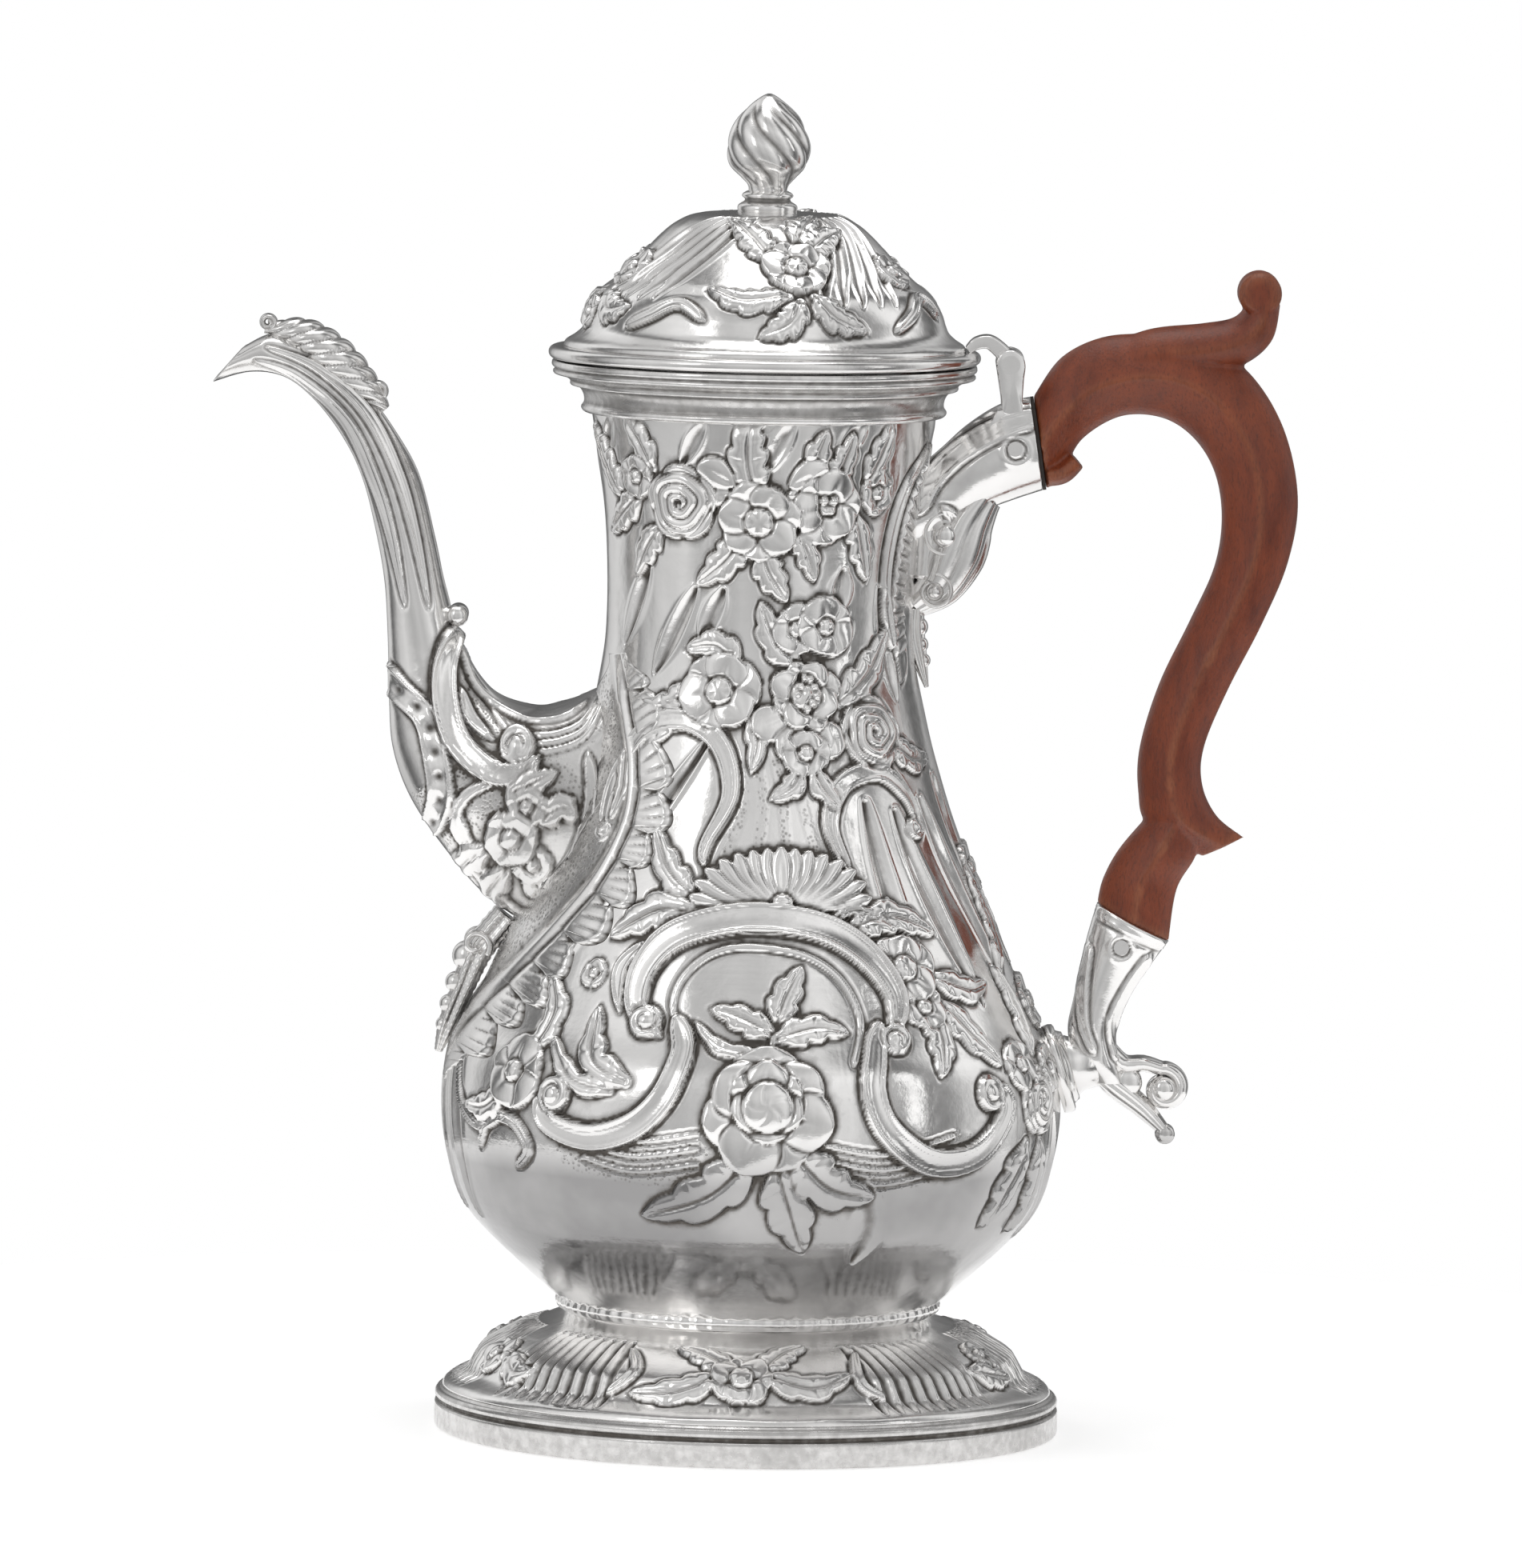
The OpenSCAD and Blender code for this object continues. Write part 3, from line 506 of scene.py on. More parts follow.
class Nodes:
    """Adds nodes to the tree of a material or a world, and joins them."""

    def __init__(self, owner):
        owner.use_nodes = True
        self.tree = owner.node_tree
        self.link = self.tree.links.new

    def make(self, kind, inputs=None, **settings):
        node = self.tree.nodes.new(kind)
        for key, value in settings.items():
            setattr(node, key, value)
        for key, value in (inputs or {}).items():
            node.inputs[key].default_value = value
        return node

    def attribute(self, name):
        return self.make("ShaderNodeAttribute", attribute_name=name).outputs["Fac"]

    def noise(self, coords, scale, detail=4, stretch=(1, 1, 1)):
        mapping = self.make("ShaderNodeMapping", {"Scale": stretch})
        texture = self.make("ShaderNodeTexNoise", {"Scale": scale, "Detail": detail})
        self.link(coords, mapping.inputs["Vector"])
        self.link(mapping.outputs["Vector"], texture.inputs["Vector"])
        return texture.outputs["Fac"]

    def remap(self, value, from_low, from_high, to_low, to_high):
        node = self.make("ShaderNodeMapRange", {"From Min": from_low, "From Max": from_high,
                                                "To Min": to_low, "To Max": to_high})
        self.link(value, node.inputs["Value"])
        return node.outputs["Result"]

    def maths(self, kind, a, b):
        """a and b are each a number or another node's output."""
        node = self.make("ShaderNodeMath", operation=kind)
        for socket, value in zip(node.inputs, (a, b)):
            if isinstance(value, (int, float)):
                socket.default_value = value
            else:
                self.link(value, socket)
        return node.outputs["Value"]

    def blend(self, share, low, high):
        """low and high are each a colour or another node's output."""
        node = self.make("ShaderNodeMix", data_type="RGBA")
        self.link(share, node.inputs["Factor"])
        for name, value in (("A", low), ("B", high)):
            socket = [s for s in node.inputs if s.name == name and s.type == "RGBA"][0]
            if isinstance(value, tuple):
                socket.default_value = value + (1,)
            else:
                self.link(value, socket)
        return [s for s in node.outputs if s.type == "RGBA"][0]

    def bump(self, shader, height, strength):
        node = self.make("ShaderNodeBump", {"Strength": strength, "Distance": 0.0004})
        self.link(height, node.inputs["Height"])
        self.link(node.outputs["Normal"], shader.inputs["Normal"])

    def ramp(self, value, stops):
        """Brightness through (degrees, brightness) stops, for a value in radians."""
        low, high = stops[0][0], stops[-1][0]
        node = self.make("ShaderNodeValToRGB")
        self.link(self.remap(value, math.radians(low), math.radians(high), 0, 1),
                  node.inputs["Fac"])
        elements = node.color_ramp.elements
        for angle, level in stops[1:-1]:
            elements.new((angle - low) / (high - low))
        for stop, (angle, level) in zip(elements, stops):
            stop.position = (angle - low) / (high - low)
            stop.color = (level, level, level, 1)
        return node.outputs["Color"]


def new_material(name):
    """A material, its nodes, its shader and the object's own coordinates."""
    mat = bpy.data.materials.new(name)
    n = Nodes(mat)
    coords = n.make("ShaderNodeTexCoord").outputs["Object"]
    return mat, n, n.tree.nodes["Principled BSDF"], coords


def silver_material():
    """Old hand-polished silver: bright on the high parts, dark in the hollows, partly with tarnish
    and partly with painted shade.
    """
    polished, handled, filmed = (0.92, 0.91, 0.9), (0.84, 0.83, 0.82), (0.7, 0.69, 0.68)
    # The grey of the painted shade on the lower belly, then the dark brown of tarnish and painted
    # shade in the hollows.
    painted_belly_shade, tarnish_and_shade_colour = (0.32, 0.315, 0.315), (0.11, 0.1, 0.09)
    mat, n, shader, coords = new_material("old_silver")
    recess, punched = n.attribute("recess"), n.attribute("matting")
    broad = n.noise(coords, 45, 6)
    patch = n.noise(coords, 16, 5)
    grit = n.noise(coords, 520, 4)
    hair = n.noise(coords, 300, 6, (1, 1, 8))
    punch = n.make("ShaderNodeTexVoronoi", {"Scale": 1150})
    n.link(coords, punch.inputs["Vector"])
    dots = n.remap(punch.outputs["Distance"], 0.1, 0.5, 0, 1)
    # The recess value darkens the colour towards dark brown: tarnish in the hollows, and painted
    # shade there, on tinted ring faces and inside the spout.
    tarnish_and_shade = n.maths("ADD", recess, n.remap(grit, 0.3, 0.7, -0.1, 0.1))
    stipple = n.maths("MULTIPLY", punched, n.remap(dots, 0, 1, 0.55, 0.1))
    tarnish_and_shade = n.remap(n.maths("ADD", tarnish_and_shade, stipple), 0.16, 1.0, 0.0, 1.0)
    film = n.remap(patch, 0.52, 0.62, 0, 1)
    film = n.maths("MULTIPLY", film, n.remap(broad, 0.35, 0.6, 0.25, 1))
    bright = n.blend(n.remap(broad, 0.35, 0.7, 0, 1), polished, handled)
    clean = n.blend(film, bright, filmed)
    split = n.make("ShaderNodeSeparateXYZ")
    n.link(coords, split.inputs["Vector"])
    # The lower belly, from just over the foot up to its widest part, is painted greyer in patches:
    # painted shade for the darker table it mirrors.
    under = n.maths("MULTIPLY", n.remap(split.outputs["Z"], 66 * MM, 56 * MM, 0, 1),
                    n.remap(split.outputs["Z"], 30 * MM, 37 * MM, 0, 1))
    shade_patches = n.remap(patch, 0.44, 0.56, 1, 0.72)
    clean = n.blend(n.maths("MULTIPLY", under, shade_patches), clean, painted_belly_shade)
    n.link(n.blend(tarnish_and_shade, clean, tarnish_and_shade_colour), shader.inputs["Base Color"])
    rough = n.remap(grit, 0.25, 0.75, 0.12, 0.21)
    rough = n.maths("ADD", rough, n.remap(tarnish_and_shade, 0, 1, 0, 0.3))
    rough = n.maths("ADD", rough, n.remap(film, 0, 1, 0, 0.09))
    n.link(rough, shader.inputs["Roughness"])
    height = n.maths("ADD", grit, n.maths("MULTIPLY", hair, 0.2))
    marks = n.maths("MULTIPLY", n.maths("MULTIPLY", punched, dots), 2.2)
    n.bump(shader, n.maths("ADD", height, marks), 0.12)
    shader.inputs["Metallic"].default_value = 1.0
    return mat


def wood_material():
    """Worn fruitwood, grain running along the grip."""
    shadow, body, warm = (0.14, 0.023, 0.007), (0.26, 0.05, 0.014), (0.34, 0.076, 0.024)
    pore, rubbed = (0.09, 0.02, 0.008), (0.46, 0.19, 0.085)
    mat, n, shader, coords = new_material("fruitwood")
    edge = n.attribute("recess")
    grain = n.noise(coords, 150, 8, (2.4, 2.4, 0.7))
    mottle = n.noise(coords, 34, 5)
    pores = n.noise(coords, 1500, 4, (1.6, 1.6, 0.5))
    colour = n.blend(n.remap(grain, 0.3, 0.72, 0, 1), shadow, body)
    colour = n.blend(n.remap(mottle, 0.42, 0.72, 0, 0.5), colour, warm)
    colour = n.blend(n.remap(pores, 0.5, 0.72, 0, 0.6), colour, pore)
    worn = n.maths("MULTIPLY", edge, n.remap(pores, 0.3, 0.6, 1.1, 0.6))
    n.link(n.blend(worn, colour, rubbed), shader.inputs["Base Color"])
    n.link(n.remap(grain, 0.3, 0.7, 0.36, 0.5), shader.inputs["Roughness"])
    shader.inputs["Coat Weight"].default_value = 0.1
    shader.inputs["Coat Roughness"].default_value = 0.3
    n.bump(shader, n.maths("ADD", grain, pores), 0.25)
    return mat


def cement_material():
    """Dark, dull filling, slightly gritty."""
    mat, n, shader, coords = new_material("dark_cement")
    grit = n.noise(coords, 900, 3)
    n.link(n.blend(grit, (0.012, 0.01, 0.009), (0.05, 0.04, 0.034)), shader.inputs["Base Color"])
    shader.inputs["Roughness"].default_value = 0.8
    return mat


LOOKS = {"silver": silver_material(), "fruitwood": wood_material(), "cement": cement_material()}


# ---------------------------------------------------------------- turned parts

def blurred(grid, size):
    """A soft average of the grid, by repeated box means."""
    out = grid
    for _ in range(3):
        for axis in (0, 1):
            pad = [(0, 0), (0, 0)]
            pad[axis] = (size + 1, size)
            total = np.cumsum(np.pad(out, pad, mode="edge"), axis=axis)
            a = np.take(total, range(2 * size + 1, total.shape[axis]), axis=axis)
            b = np.take(total, range(0, total.shape[axis] - 2 * size - 1), axis=axis)
            out = (a - b) / (2 * size + 1)
    return out


def recesses(high, gap):
    """0 on the high parts and 1 deep in the hollows, from the relief itself; the silver is painted
    darker by it, with tarnish and painted shade.
    """
    near = blurred(high, max(1, int(round(0.7 / gap)))) - high
    wide = blurred(high, max(1, int(round(2.6 / gap)))) - high
    return np.clip(near * 2.3 + wide * 0.55, 0, 1)


def hand_noise(shape, gap, size, seed):
    """Smooth unevenness, its lumps about size mm across."""
    rng = np.random.default_rng(seed)
    lumps = blurred(rng.standard_normal(shape), max(1, int(size / gap / 2)))
    return lumps / lumps.std()


def turned_rings(field):
    """Outside rings of a turned part, its front relief mirrored to the back."""
    high = mirrored(field.high)
    angle = np.radians(np.concatenate([field.angle, 180 - field.angle[::-1]]))
    r = field.r[:, None] + high * field.out[:, :1]
    z = field.z[:, None] + high * field.out[:, 1:]
    return turned(r, angle, z)


def turned_piece(name, field, gap, inner, body, replaces):
    """A closed turned piece: relief outside, plain inner line back to the start."""
    rings = turned_rings(field)
    dark, matt = mirrored(recesses(field.high, gap)), mirrored(field.matt)
    angle = np.arctan2(rings[0, :, 0], -rings[0, :, 1])
    inner = np.asarray(inner, float)
    back = turned(inner[:, :1], angle, inner[:, 1:])
    plain = np.zeros(back.shape[:2])
    open_middle = inner[0, 0] > 3 and inner[-1, 0] > 3
    solid = Solid()
    solid.rings(np.vstack([rings, back]), np.vstack([dark, plain]), open_middle,
                np.vstack([matt, plain]))
    solid.piece(name, body, replaces)


# ---------------------------------------------------------------- the body

BODY_LINE = [
    (36.5, 25), (44.6, 32), (57, 44.5), (61.2, 55.5), (62.5, 66), (61, 77),
    (56.3, 85.5), (49.8, 100), (41.5, 119.5), (35.2, 139), (31.6, 155),
    (31, 168), (31.5, 184), (33.1, 197), (34.9, 207)]
BODY_LOW, BODY_TOP = BODY_LINE[0][1], BODY_LINE[-1][1]
WALL = 0.9


def body_radius(z):
    """The plain body's outside radius at height z."""
    line = spline(BODY_LINE, 6)
    return np.interp(z, line[:, 1], line[:, 0])


def chase_neck(f):
    for side, top, foot in ((10, 208.3, 196), (-20, 206, 197), (36, 207, 199), (-62, 206, 197)):
        flute(f, [(side, top), (side - 9, foot)], 3, 0.5)
    comb(f, [(76, 196), (66, 188), (60, 178), (57, 167), (60, 158)], 6, 3, 1.1)
    band(f, [(78, 200), (62, 193), (55, 183), (53, 172), (58, 160)], 2.6, 1.1)
    leaf(f, [(-2, 191), (-5, 198), (-4, 205), (2, 211)], 3.6, 1.3, 4)
    leaf(f, [(20, 194), (19, 199), (22, 204.6)], 2.7, 1.1, 3)
    leaf(f, [(25, 194), (29, 198), (32, 204)], 2.5, 1.1, 3)
    leaf(f, [(40, 194), (44, 199), (48, 206)], 2.6, 1.1, 3)
    leaf(f, [(-42, 196), (-47, 202), (-54, 206)], 2.6, 1.1, 3)
    leaf(f, [(-60, 190), (-70, 197), (-78, 204)], 3, 1.1, 4)
    leaf(f, [(-7, 183), (-13, 178), (-24, 173)], 3, 1.2, 3)
    leaf(f, [(1, 180), (3, 176), (10, 170)], 2.8, 1.1, 3)
    leaf(f, [(13, 184), (17, 180), (20, 174)], 2.4, 1.1, 3)
    leaf(f, [(36, 187), (39, 181), (42, 174)], 2.6, 1.1, 3)
    leaf(f, [(-50, 190), (-60, 186), (-70, 182)], 2.8, 1.1, 3)
    leaf(f, [(-40, 184), (-46, 180), (-52, 174)], 2.6, 1.0, 3)
    flower(f, (-50, 194), 4.4, 5, 10, 1.2)
    flower(f, (45, 191.6), 4.4, 6, 30, 1.2)
    for at, turn in (((-10, 190.6), 168), ((-9, 193), 150), ((8, 190.6), 12), ((9, 193), 28)):
        petal(f, at, 9, 6.4, turn, 1.3)
    rose(f, (-30, 189.4), 7, 20, 1.7)
    flower(f, (24, 189), 7.4, 6, 12, 1.5, 0.22)
    beads(f, [(22.4, 190.4), (24, 187.4), (26, 190.4)], 0.9, 2.3, 1.5)
    flower(f, (-1, 186), 8.2, 7, -90, 1.7, 0.34)


def chase_middle(f):
    for a, b in (((-25, 172), (-41, 155)), ((-14, 172), (-22, 162)), ((-46, 176), (-60, 160)),
                 ((32, 176), (30, 168)), ((50, 172), (58, 150))):
        flute(f, [a, b], 3.4, 0.7)
    for a, b, c in (((-18, 141), (-39, 117), (-52, 91)), ((-40, 138), (-60, 118), (-72, 98))):
        flute(f, [a, b, c], 3.6, 0.8)
    for a, b, c in (((35, 130), (38, 107), (43, 86)), ((46, 128), (52, 108), (58, 90)),
                    ((60, 130), (67, 110), (73, 92)), ((74, 134), (80, 112), (85, 96))):
        flute(f, [a, b, c], 4.4, 0.9)
    for shift in range(0, 30, 6):
        matting(f, [(-6 + shift, 138), (-4 + shift, 130), (-8 + 1.4 * shift, 120)], 2.2)
    leaf(f, [(-22, 153), (-34, 148), (-48, 149)], 3.2, 1.2, 3)
    leaf(f, [(-24, 150), (-36, 144), (-50, 142)], 2.8, 1.1, 3)
    leaf(f, [(-8, 157), (-16, 161), (-28, 160)], 2.9, 1.1, 3)
    leaf(f, [(14, 158), (6, 162), (0, 170)], 3, 1.1, 3)
    leaf(f, [(30, 150), (44, 156), (54, 164)], 3.2, 1.1, 3)
    leaf(f, [(50, 142), (60, 138), (72, 138)], 2.8, 1.1, 3)
    leaf(f, [(-2, 148), (0, 142), (-2, 136)], 2.2, 1.0, 2)
    band(f, [(-49, 122), (-50, 132), (-42, 143), (-27, 146), (-13, 142), (-8, 132), (-14, 122),
             (-14, 118)], 4.2, 1.2, 0.45)
    leaf(f, [(-48, 140), (-45, 132), (-47, 125)], 2, 1.3, 3)
    volute(f, (-49, 123), 2.3, 1.3)
    band(f, [(26, 117), (22, 126), (28, 134), (42, 136), (52, 131), (55, 125)], 4, 1.2, 0.45)
    volute(f, (53, 124.6), 2.3, 1.3)
    flower(f, (14, 164.6), 5, 5, 0, 1.2)
    flower(f, (25, 165), 6, 5, 30, 1.4, 0.26)
    flower(f, (-14, 152), 8, 6, 14, 1.5, 0.33)
    petal(f, (12, 148), 9, 7.6, 205, 1.4)
    petal(f, (20, 147), 9, 8, -62, 1.4)
    petal(f, (14, 146), 8.4, 7.6, 255, 1.5)
    rose(f, (42, 143.6), 6.8, 5, 1.6)
    flower(f, (17, 151.4), 7.2, 8, 20, 1.6, 0.42)
    beads(f, [(13.6, 151.6), (17, 155), (20.6, 151.6), (17, 148.6)], 0.8, 2.2, 1.8)
    leaf(f, [(14, 137), (11, 133.5), (4, 131)], 2.2, 1.1, 2)
    leaf(f, [(18, 137), (21, 133), (26, 129)], 2.2, 1.1, 2)
    flower(f, (16, 140), 4.8, 5, 8, 1.3)


def chase_shell(f):
    """The wide shell over the cartouche: curved lobes fanned from one point."""
    lobes = 15
    matting(f, [(-10, 110), (8, 111), (26, 110)], 5)
    for k in sorted(range(lobes), key=lambda n: -abs(n - (lobes - 1) / 2)):
        turn = 176 - 172 * k / (lobes - 1)
        lean = math.cos(math.radians(turn))
        start = (7 + 4 * lean, 112 - 1.5 * abs(lean))
        petal(f, start, 10.5 + 5 * lean * lean, 4.2, turn, 1.75)
    ball(f, (7, 110.6), 2.2, 1.6)
    band(f, [(7, 110), (-2, 106.8), (-12, 109), (-22, 107)], 1.8, 1.3, 0.8)
    band(f, [(8, 110), (16, 107), (26, 109.4), (36, 106)], 1.8, 1.3, 0.8)


def chase_cartouche(f):
    leaf(f, [(-13, 108), (-24, 109), (-36, 103)], 3.6, 1.3, 4)
    leaf(f, [(-16, 112), (-24, 117), (-30, 125)], 2.8, 1.2, 3)
    leaf(f, [(24, 106), (36, 108), (48, 104)], 3.2, 1.3, 4)
    chase_shell(f)
    matting(f, [(-34, 62), (-20, 60), (-8, 61)], 9)
    matting(f, [(12, 60), (26, 59), (42, 62)], 9)
    for lift in (0, 3, 6):
        comb(f, [(-32, 60 + lift), (-22, 58 + lift), (-10, 60 + lift)], 0.9, 2.1, 0.4)
        comb(f, [(14, 58 + lift), (26, 56 + lift), (40, 59 + lift)], 0.9, 2.1, 0.4)
    band(f, [(-13, 85), (-17, 90), (-16, 96), (-10, 101), (-1, 102.6), (12, 101), (20, 96),
             (23, 88), (20, 80)], 1.3, 0.7, 0, 0.4)
    band(f, [(-19, 85), (-25, 90), (-25, 98), (-18, 104.6), (-2, 108), (15, 106.6),
             (26, 101.4), (32, 93), (30, 85.4)], 6.2, 1.7, 0.3, 1.0)
    band(f, [(-29, 89), (-31, 97), (-26, 103)], 3.2, 1.2, 0.7)
    volute(f, (-22.4, 87.6), 3.4, 1.9, 0)
    band(f, [(-16, 89), (-13.6, 82), (-16, 74), (-22, 67.4), (-31, 64.6), (-40, 67), (-42.4, 72)],
         5.4, 1.6, 0.25, 0.9)
    volute(f, (-39, 72.4), 3.6, 1.8, 180)
    band(f, [(27, 88), (24.6, 82), (23, 75), (26, 67), (35, 60.6), (46, 61.4), (54, 69),
             (53, 75)], 5.6, 1.6, 0.25, 0.9)
    volute(f, (50, 73.4), 3.6, 1.8, 0)
    volute(f, (30, 84.6), 3.2, 1.9, 180)
    band(f, [(3, 78), (4, 84), (5, 90)], 1.2, 1, 0.3, 0.4)
    for a, b, c, w in (((5, 88), (7, 93), (11, 99), 2.8), ((4, 86), (-3, 89), (-9, 90.6), 2.6),
                       ((5, 85), (13, 87), (20, 86), 2.8), ((2, 82), (-6, 83), (-12, 88), 1.6)):
        leaf(f, [a, b, c], w, 1.3, 3)
    for a, b, c in (((0, 62), (-8, 54), (-21, 49.6)), ((5, 60), (8, 50), (11, 42.6)),
                    ((8, 63), (15, 56), (24, 54))):
        leaf(f, [a, b, c], 4.4, 1.4, 3)
    flower(f, (3, 71), 12.8, 7, 90, 2.1, 0.2)
    flower(f, (3, 73), 7.6, 6, 30, 2.3, 0.3)
    part, rho, ang = polar(f, (3, 72), 6)
    dome = np.sqrt(np.clip(1 - (rho / 5.4) ** 2, 0, 1))
    seams = 0.22 * bell(np.sin(2.5 * ang + 0.5 * rho) * rho / 0.7) * smooth(rho / 1.5)
    f.lay(part, 4.9 - rho, 1.4 + 1.5 * dome - seams, groove=0.4)


def chase_belly(f):
    for a, b, c in (((-79, 93), (-71, 66), (-70, 45)), ((-88, 90), (-81, 66), (-80, 46)),
                    ((22, 56), (24, 48), (23, 40)), ((76, 66), (78, 52), (77, 42))):
        flute(f, [a, b, c], 5, 0.7)
    band(f, [(-60, 60), (-56, 66), (-49, 66), (-45, 61), (-49, 57)], 2.4, 1.2)
    band(f, [(-72, 76), (-68, 68), (-60, 64), (-52, 67)], 2.0, 1.0)
    leaf(f, [(-24, 76), (-32, 80), (-34, 90)], 3, 1.2, 3)
    leaf(f, [(-27, 74), (-36, 76), (-44, 84)], 2, 1.1, 3)
    leaf(f, [(-47, 80), (-45, 88), (-50, 95)], 2.6, 1.2, 3)
    leaf(f, [(-52, 72), (-58, 68), (-66, 68)], 2.6, 1.1, 3)
    leaf(f, [(40, 90), (41, 84), (38, 77)], 3, 1.3, 3)
    leaf(f, [(44, 91), (50, 84), (55, 78)], 3.2, 1.2, 3)
    leaf(f, [(44, 96), (54, 93), (62, 94)], 2.8, 1.2, 3)
    leaf(f, [(62, 62), (56, 52), (52, 46)], 3.4, 1.3, 3)
    leaf(f, [(68, 62), (68, 52), (64, 44)], 3.2, 1.2, 3)
    leaf(f, [(70, 80), (72, 88), (68, 97)], 2.8, 1.2, 3)
    leaf(f, [(74, 96), (78, 104), (76, 114)], 2.6, 1.1, 4)
    flower(f, (-50, 76), 7.4, 5, 12, 1.6, 0.28)
    flower(f, (-38, 96), 3, 5, 0, 0.9)
    flower(f, (39, 90.6), 5, 5, 250, 1.3)
    flower(f, (36, 98), 7.4, 6, 15, 1.6, 0.34)
    rose(f, (67, 70.4), 6.4, 12, 1.6)
    flower(f, (62, 78), 5.4, 5, 40, 1.3)
    flower(f, (76, 76), 5, 5, 10, 1.3)
    flower(f, (82, 115), 5, 5, 0, 1.2)
    flower(f, (86, 88), 6, 6, 0, 1.3)


def build_body():
    gap = 0.4 / fine
    f = Turned(spline(BODY_LINE, 8), gap / 2, 2 * int(560 * fine))
    chase_neck(f)
    chase_middle(f)
    chase_belly(f)
    chase_cartouche(f)
    f.finish(gap, 0.05, 7, 3, (1, 3), (1, 3))
    inside = evened(spline(BODY_LINE, 4), 5)
    inside = [(r - WALL - 0.1, z) for r, z in inside[::-1] if z > 28]
    floor = BODY_LOW + WALL
    inner = [(34.9 - WALL, BODY_TOP)] + inside[1:] + [(35.4, floor), (0.5, floor)]
    turned_piece("body_chased", f, gap, inner, "pot", ["body_shell"])


def hollows(profile):
    """How far each point of a closed section lies inside its neighbours' line."""
    x, y = profile[:, 0], profile[:, 1]
    turn = np.sign((x * np.roll(y, -1) - y * np.roll(x, -1)).sum())
    before, after = np.roll(profile, 3, 0), np.roll(profile, -3, 0)
    chord = after - before
    bow = (chord[:, 0] * (profile - before)[:, 1] - chord[:, 1] * (profile - before)[:, 0])
    return np.clip(turn * bow / (np.linalg.norm(chord, axis=1) + 1e-6) * 1.6, 0, 0.7)


def ring_piece(name, profile, body, replaces, shape=None, shade_tint=0.0):
    """A turned ring with a closed section; the tint argument is painted shade, how much darker its
    plain faces are painted.
    """
    columns = int(360 * fine)
    angle = around(columns)
    closed = np.vstack([profile, profile[:1]])
    p = evened(closed, 0.35 / fine)[:-1]
    r = np.repeat(p[:, :1], columns, 1)
    z = np.repeat(p[:, 1:2], columns, 1)
    if shape is not None:
        dr, dz = shape(np.repeat(np.degrees(angle)[None], len(p), 0), r, z)
        r, z = r + dr, z + dz
    rings = turned(r, angle, z)
    # Colour darkened by the tint, which is painted shade, and in concave faces by tarnish and
    # painted shade.
    dark = np.repeat(np.clip(shade_tint + hollows(p), 0, 1)[:, None], columns, 1)
    solid = Solid()
    solid.rings(rings, dark, ring_closed=True)
    solid.piece(name, body, replaces)


# ---------------------------------------------------------------- foot, lid

FOOT_LINE = [(61.5, 8.2), (60.6, 9.6), (56.4, 11.6), (54.4, 14.4), (53.2, 16.2),
             (49.8, 18.4), (44.6, 20.8), (40.2, 22.2), (37.6, 23.4), (36.5, 25)]


def build_foot():
    gap = 0.35 / fine
    f = Turned(spline(FOOT_LINE, 8), gap / 2, 2 * int(560 * fine))
    for middle in (-44, 41, 86, -87):
        for k in range(-4, 5):
            at = middle + 3.4 * k
            flute(f, [(at - 1.2, 21.4), (at, 16.5), (at + 0.6, 10.2)], 2.8, 0.6, 0.3)
    for a, b, c in (((-6, 17), (-14, 14), (-25, 13)), ((4, 17), (14, 15), (24, 17)),
                    ((58, 16), (64, 14.5), (72, 13)), ((-64, 17), (-58, 14), (-52, 15)),
                    ((-4, 18), (-10, 20), (-18, 21)), ((4, 18), (9, 20.5), (16, 21.5))):
        leaf(f, [a, b, c], 2.8, 1.1, 3)
    band(f, [(-30, 20.5), (-25, 17), (-30, 12.5)], 2.4, 1.1)
    band(f, [(28, 20.5), (25, 16), (30, 12.5)], 2.4, 1.1)
    flower(f, (-1, 16.6), 6.2, 7, 0, 1.5, 0.36)
    flower(f, (-71, 16.5), 5, 6, 0, 1.2)
    flower(f, (67, 18), 4, 5, 0, 1.1)
    f.finish(gap, 0.04, 6, 5, (0.6, 1.5), (0.8, 2))
    inside = spline([(35.4, 25), (38.6, 21.2), (45, 18.6), (51, 15.4), (53.5, 12.6),
                     (57, 9.8), (60.4, 8.2)], 2)
    turned_piece("foot_chased", f, gap, inside, "pot", ["foot"])


def build_rim():
    # The rim's faces are painted darker: painted shade in place of the bright floor they mirror.
    ring_piece("foot_rim_turned", [
        (61.1, 0.25), (61.5, 0), (62.6, 0), (63, 0.5), (63, 4.9), (62.3, 5.2), (62.3, 5.8),
        (62.9, 6.2), (62.9, 7), (62.5, 7.6), (61.9, 7.7), (61.7, 8.2), (60.2, 8.3), (59.6, 8.2),
        (59.6, 6.8), (61.1, 6.8)], "pot", ["foot_rim"], shade_tint=0.4)
    ring_piece("foot_collar_turned", spiral((37.1, 25.8), 1.7, 1.7, 0, 345, 15), "pot",
               ["foot_collar"], shade_tint=0.1,
               shape=lambda a, r, z: ((r - 37.1) * 0.1 * np.cos(np.radians(72 * a)), 0 * z))


